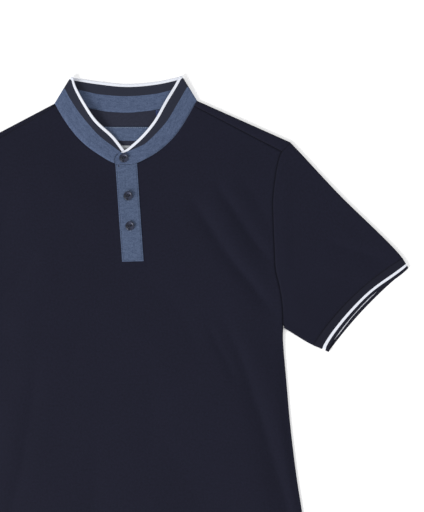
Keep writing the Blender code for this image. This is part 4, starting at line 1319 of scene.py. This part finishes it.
def make_buttonholes(level_at, thread):
    """Close stitching round a slit: lengthwise in the collar band, upright in the placket."""
    origins, axes = [], []
    for number, (x, y) in enumerate(BUTTONS):
        way = unit(np.array((1.0, -0.03, 0.0) if number == 0 else (0.028, -1.0, 0.0)))
        aside = np.array((-way[1], way[0], 0.0))
        middle = np.array((x, y, 0.0)) + (way * 1.2 if number == 0 else 0.0)
        count = int(HOLE_LENGTH / HOLE_PITCH)
        for step in range(count):
            along_hole = way * (step / (count - 1) - 0.5) * HOLE_LENGTH
            bar = min(step, count - 1 - step) < HOLE_BAR
            shorter, shift = (0.0, 0.0) if bar else (HOLE_SLIT, HOLE_SHIFT)
            for hand in (-1, 1):
                centre = middle + along_hole + aside * hand * HOLE_WIDTH / 4
                centre[2] = level_at(number, centre[:2])
                origins.append(centre + aside * hand * shift)
                axes.append(np.stack([aside * (HOLE_WIDTH / 2 - shorter), way * HOLE_PITCH / 2, HOLE_RISE]))
    template, faces = stitch_shape()
    return joined_mesh("buttonholes", template, faces, (np.array(origins), np.array(axes)), thread)


def over_front(line, lift):
    return lifted(line, front_level(line[None])[0] + CLOTH / 2 + lift)


def placket_lines():
    """The placket's stitching, a little inside both sides and its lower end."""
    sides = []
    for top, bottom, inset in zip(PLACKET_TOP, PLACKET_BOTTOM, (PLACKET_SEW, -PLACKET_SEW)):
        ends = ((top + inset, PLACKET_START - 0.8), (bottom + inset, PLACKET_END + PLACKET_SEW))
        sides.append(even(np.array(ends), 60))
    left, right = sides
    lower = even(np.stack([left[-1], right[-1]]), 20)
    return [over_front(line, PLACKET_LIFT + PLACKET_WALL / 2 - 0.22) for line in (left, right, lower)]


TACK = (-12.4, -89.6)  # the small bar tack at the head of the placket
TACK_RADIUS = 0.2
TACK_LENGTH = 1.5


def tack_lines():
    """Five short threads side by side."""
    across = np.linspace(-0.5, 0.5, 5) * TACK_LENGTH
    arch = np.linspace(-1.0, 1.0, 7)
    level = float(over_front(np.array([TACK]), PLACKET_LIFT + PLACKET_WALL / 2)[0, 2])
    x, y = TACK[0] + arch * TACK_LENGTH / 2, TACK[1] + 0.0 * arch
    return [np.stack([x, y + step, level + 0.15 - 0.3 * arch**4], axis=1) for step in across]


HEM_ROWS = (22.0, 28.0)  # of stitching, over the hem
HEM_INSET = 6.0  # from the sides


def hem_lines():
    rows = []
    for up in HEM_ROWS:
        y = HEM + up
        reach = half_width(y) - HEM_INSET
        rows.append(over_front(even(np.array(((-reach, y), (reach, y))), CURVE_POINTS), 0.0))
    return rows


def strip_lines(shape, sides):
    """Lines a little inside the upper and lower edge, or the ends, of a strip inside the neck."""
    (width, height, thickness), centre, turn = shape
    rows = []
    for hand in (-1, 1):
        if sides == "ends":
            x = np.full(20, hand * (width / 2 - STRIP_SEW))
            y = np.linspace(-height / 2 + 1, height / 2 - 1, 20)
        else:
            x = np.linspace(-width / 2 + 1, width / 2 - 1, 60)
            y = np.full(60, hand * (height / 2 - STRIP_SEW))
        spots = rotated(paired(x, y), turn) + centre
        rows.append(lifted(spots, CLOTH + STRIP_GAP + thickness))
    return rows


def make_stitching():
    """All the sewing that shows, in threads of the cloths' own colours."""
    blue = thread_finish("blue_thread", (0.032, 0.046, 0.085))
    pale = thread_finish("pale_thread", (0.32, 0.38, 0.50))
    navy = thread_finish("navy_thread", (0.012, 0.0125, 0.022))
    grey = thread_finish("grey_thread", (0.20, 0.21, 0.22))
    ride(stitches("placket_stitches", placket_lines(), blue, 2.6, 1.9, 0.26), "placket")
    ride(cords("placket_tack", tack_lines(), navy, TACK_RADIUS), "placket")
    sewn = (
        ("hem", "front", hem_lines(), navy, 2.8, 2.2, 0.24),
        ("neck_strip", "neck_strip", strip_lines(NECK_STRIP, "edges")[1:], pale, 2.8, 1.6, 0.28),
        ("neck_label", "neck_label", strip_lines(NECK_LABEL, "ends"), grey, 1.6, 1.2, 0.16),
        ("size_label", "size_label", strip_lines(SIZE_LABEL, "edges")[1:], pale, 1.4, 1.0, 0.16),
    )
    for name, node, runs, *sewing in sewn:
        ride(stitches(f"{name}_stitches", runs, *sewing), node)

    def level_at(number, spot):
        if number == 0:
            return TAB_LEVEL + RIB / 2 - 0.05
        lift = PLACKET_LIFT + PLACKET_WALL / 2 - 0.05
        return over_front(spot[None], lift)[0, 2]

    ride(make_buttonholes(level_at, thread_finish("hole_thread", (0.16, 0.21, 0.32))), "placket")


# Scene


def make_camera():
    data = bpy.data.cameras.new("camera")
    data.lens = LENS
    data.sensor_width = SENSOR
    camera = linked("camera", data)
    camera.location = (*VIEW_CENTRE, FRAME_HEIGHT * LENS / SENSOR + VIEW_LEVEL)
    camera.rotation_euler = (0.0, 0.0, VIEW_TURN)
    bpy.context.scene.camera = camera


FLOOR = 30.0  # half of its side, in metres


def make_floor():
    finish = Finish("pale_floor", roughness=1.0, specular=0.0)
    finish.colour((0.95, 0.95, 0.955))
    finish.shader.inputs["Emission Color"].default_value = (1.0, 1.0, 1.0, 1.0)
    finish.shader.inputs["Emission Strength"].default_value = 0.25
    mesh = bpy.data.meshes.new("floor")
    corners = [(x * FLOOR, y * FLOOR, -0.0003) for x, y in ((-1, -1), (1, -1), (1, 1), (-1, 1))]
    mesh.from_pydata(corners, [], [(0, 1, 2, 3)])
    mesh.materials.append(finish.material)
    floor = linked("floor", mesh)


LAMPS = (  # (name, place, size, watts)
    ("key", (-3.5, -2.4, 2.5), 2.6, 265.0),
    ("fill", (1.5, 1.2, 2.6), 1.8, 26.0),
)
WORLD_LIGHT = 0.42


def make_lights():
    for name, place, size, watts in LAMPS:
        data = bpy.data.lights.new(name, "AREA")
        data.shape = "DISK"
        data.size = size
        data.energy = watts
        lamp = linked(name, data)
        lamp.location = place
        aim = Vector((*VIEW_CENTRE, 0.0)) - lamp.location
        lamp.rotation_euler = aim.to_track_quat("-Z", "Y").to_euler()
    world = bpy.data.worlds.new("studio")
    world.use_nodes = True
    world.node_tree.nodes["Background"].inputs[0].default_value = (1.0, 1.0, 1.0, 1.0)
    world.node_tree.nodes["Background"].inputs[1].default_value = WORLD_LIGHT
    bpy.context.scene.world = world
    bpy.context.scene.view_settings.view_transform = "Standard"


def declare(piece, node):
    """A piece of cloth that stands for its solid, which it hides, under the root."""
    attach(piece, "root")
    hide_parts(node)


def main():
    make_camera()
    make_floor()
    make_lights()
    navy = pique_finish("navy_pique", NAVY)
    reverse = pique_finish("navy_pique_reverse", REVERSE_NAVY)
    navy_rib = rib_finish("navy_rib", (0.0080, 0.0084, 0.0165), (0.0165, 0.0172, 0.0300))
    stripe = rib_finish("navy_stripe", (0.015, 0.017, 0.030), (0.031, 0.035, 0.054))
    white = rib_finish("white_tipping", (0.70, 0.73, 0.82), (0.86, 0.88, 0.95))
    heather = heather_finish("heather_blue", (0.044, 0.065, 0.121), (0.102, 0.136, 0.230))
    heather_cloth = heather_finish("heather_cloth", (0.045, 0.066, 0.121), (0.104, 0.140, 0.230), 1.2)
    grey = label_finish("grey_label", (0.26, 0.28, 0.30), (0.46, 0.48, 0.51))
    blue = label_finish("blue_label", (0.010, 0.018, 0.07), (0.02, 0.035, 0.12))
    declare(make_front(navy), "front")
    declare(make_back(navy, reverse), "back")
    for side, name in ((1, "left"), (-1, "right")):
        sleeve = make_sleeve(SIDES[side], f"sleeve_{name}", navy)
        declare(sleeve, f"sleeve_{name}")
        cuff = make_cuff(SIDES[side], f"cuff_{name}", [navy_rib, white])
        declare(cuff, f"cuff_{name}")
    collar = make_collar([heather, stripe, white])
    declare(collar, "collar")
    declare(make_placket(heather_cloth), "placket")
    strip = make_inner_strip("inner_neck_strip", NECK_STRIP, heather_cloth, (60, 8))
    declare(strip, "neck_strip")
    # painted shade on the label's lower part
    label = make_inner_strip("inner_neck_label", NECK_LABEL, grey, (12, 16), low_shade=1.5)
    declare(label, "neck_label")
    size_label = make_inner_strip("inner_size_label", SIZE_LABEL, blue, (6, 6))
    declare(size_label, "size_label")
    make_buttons(button_finish(), thread_finish("button_thread", (0.018, 0.020, 0.034)))
    make_stitching()


main()
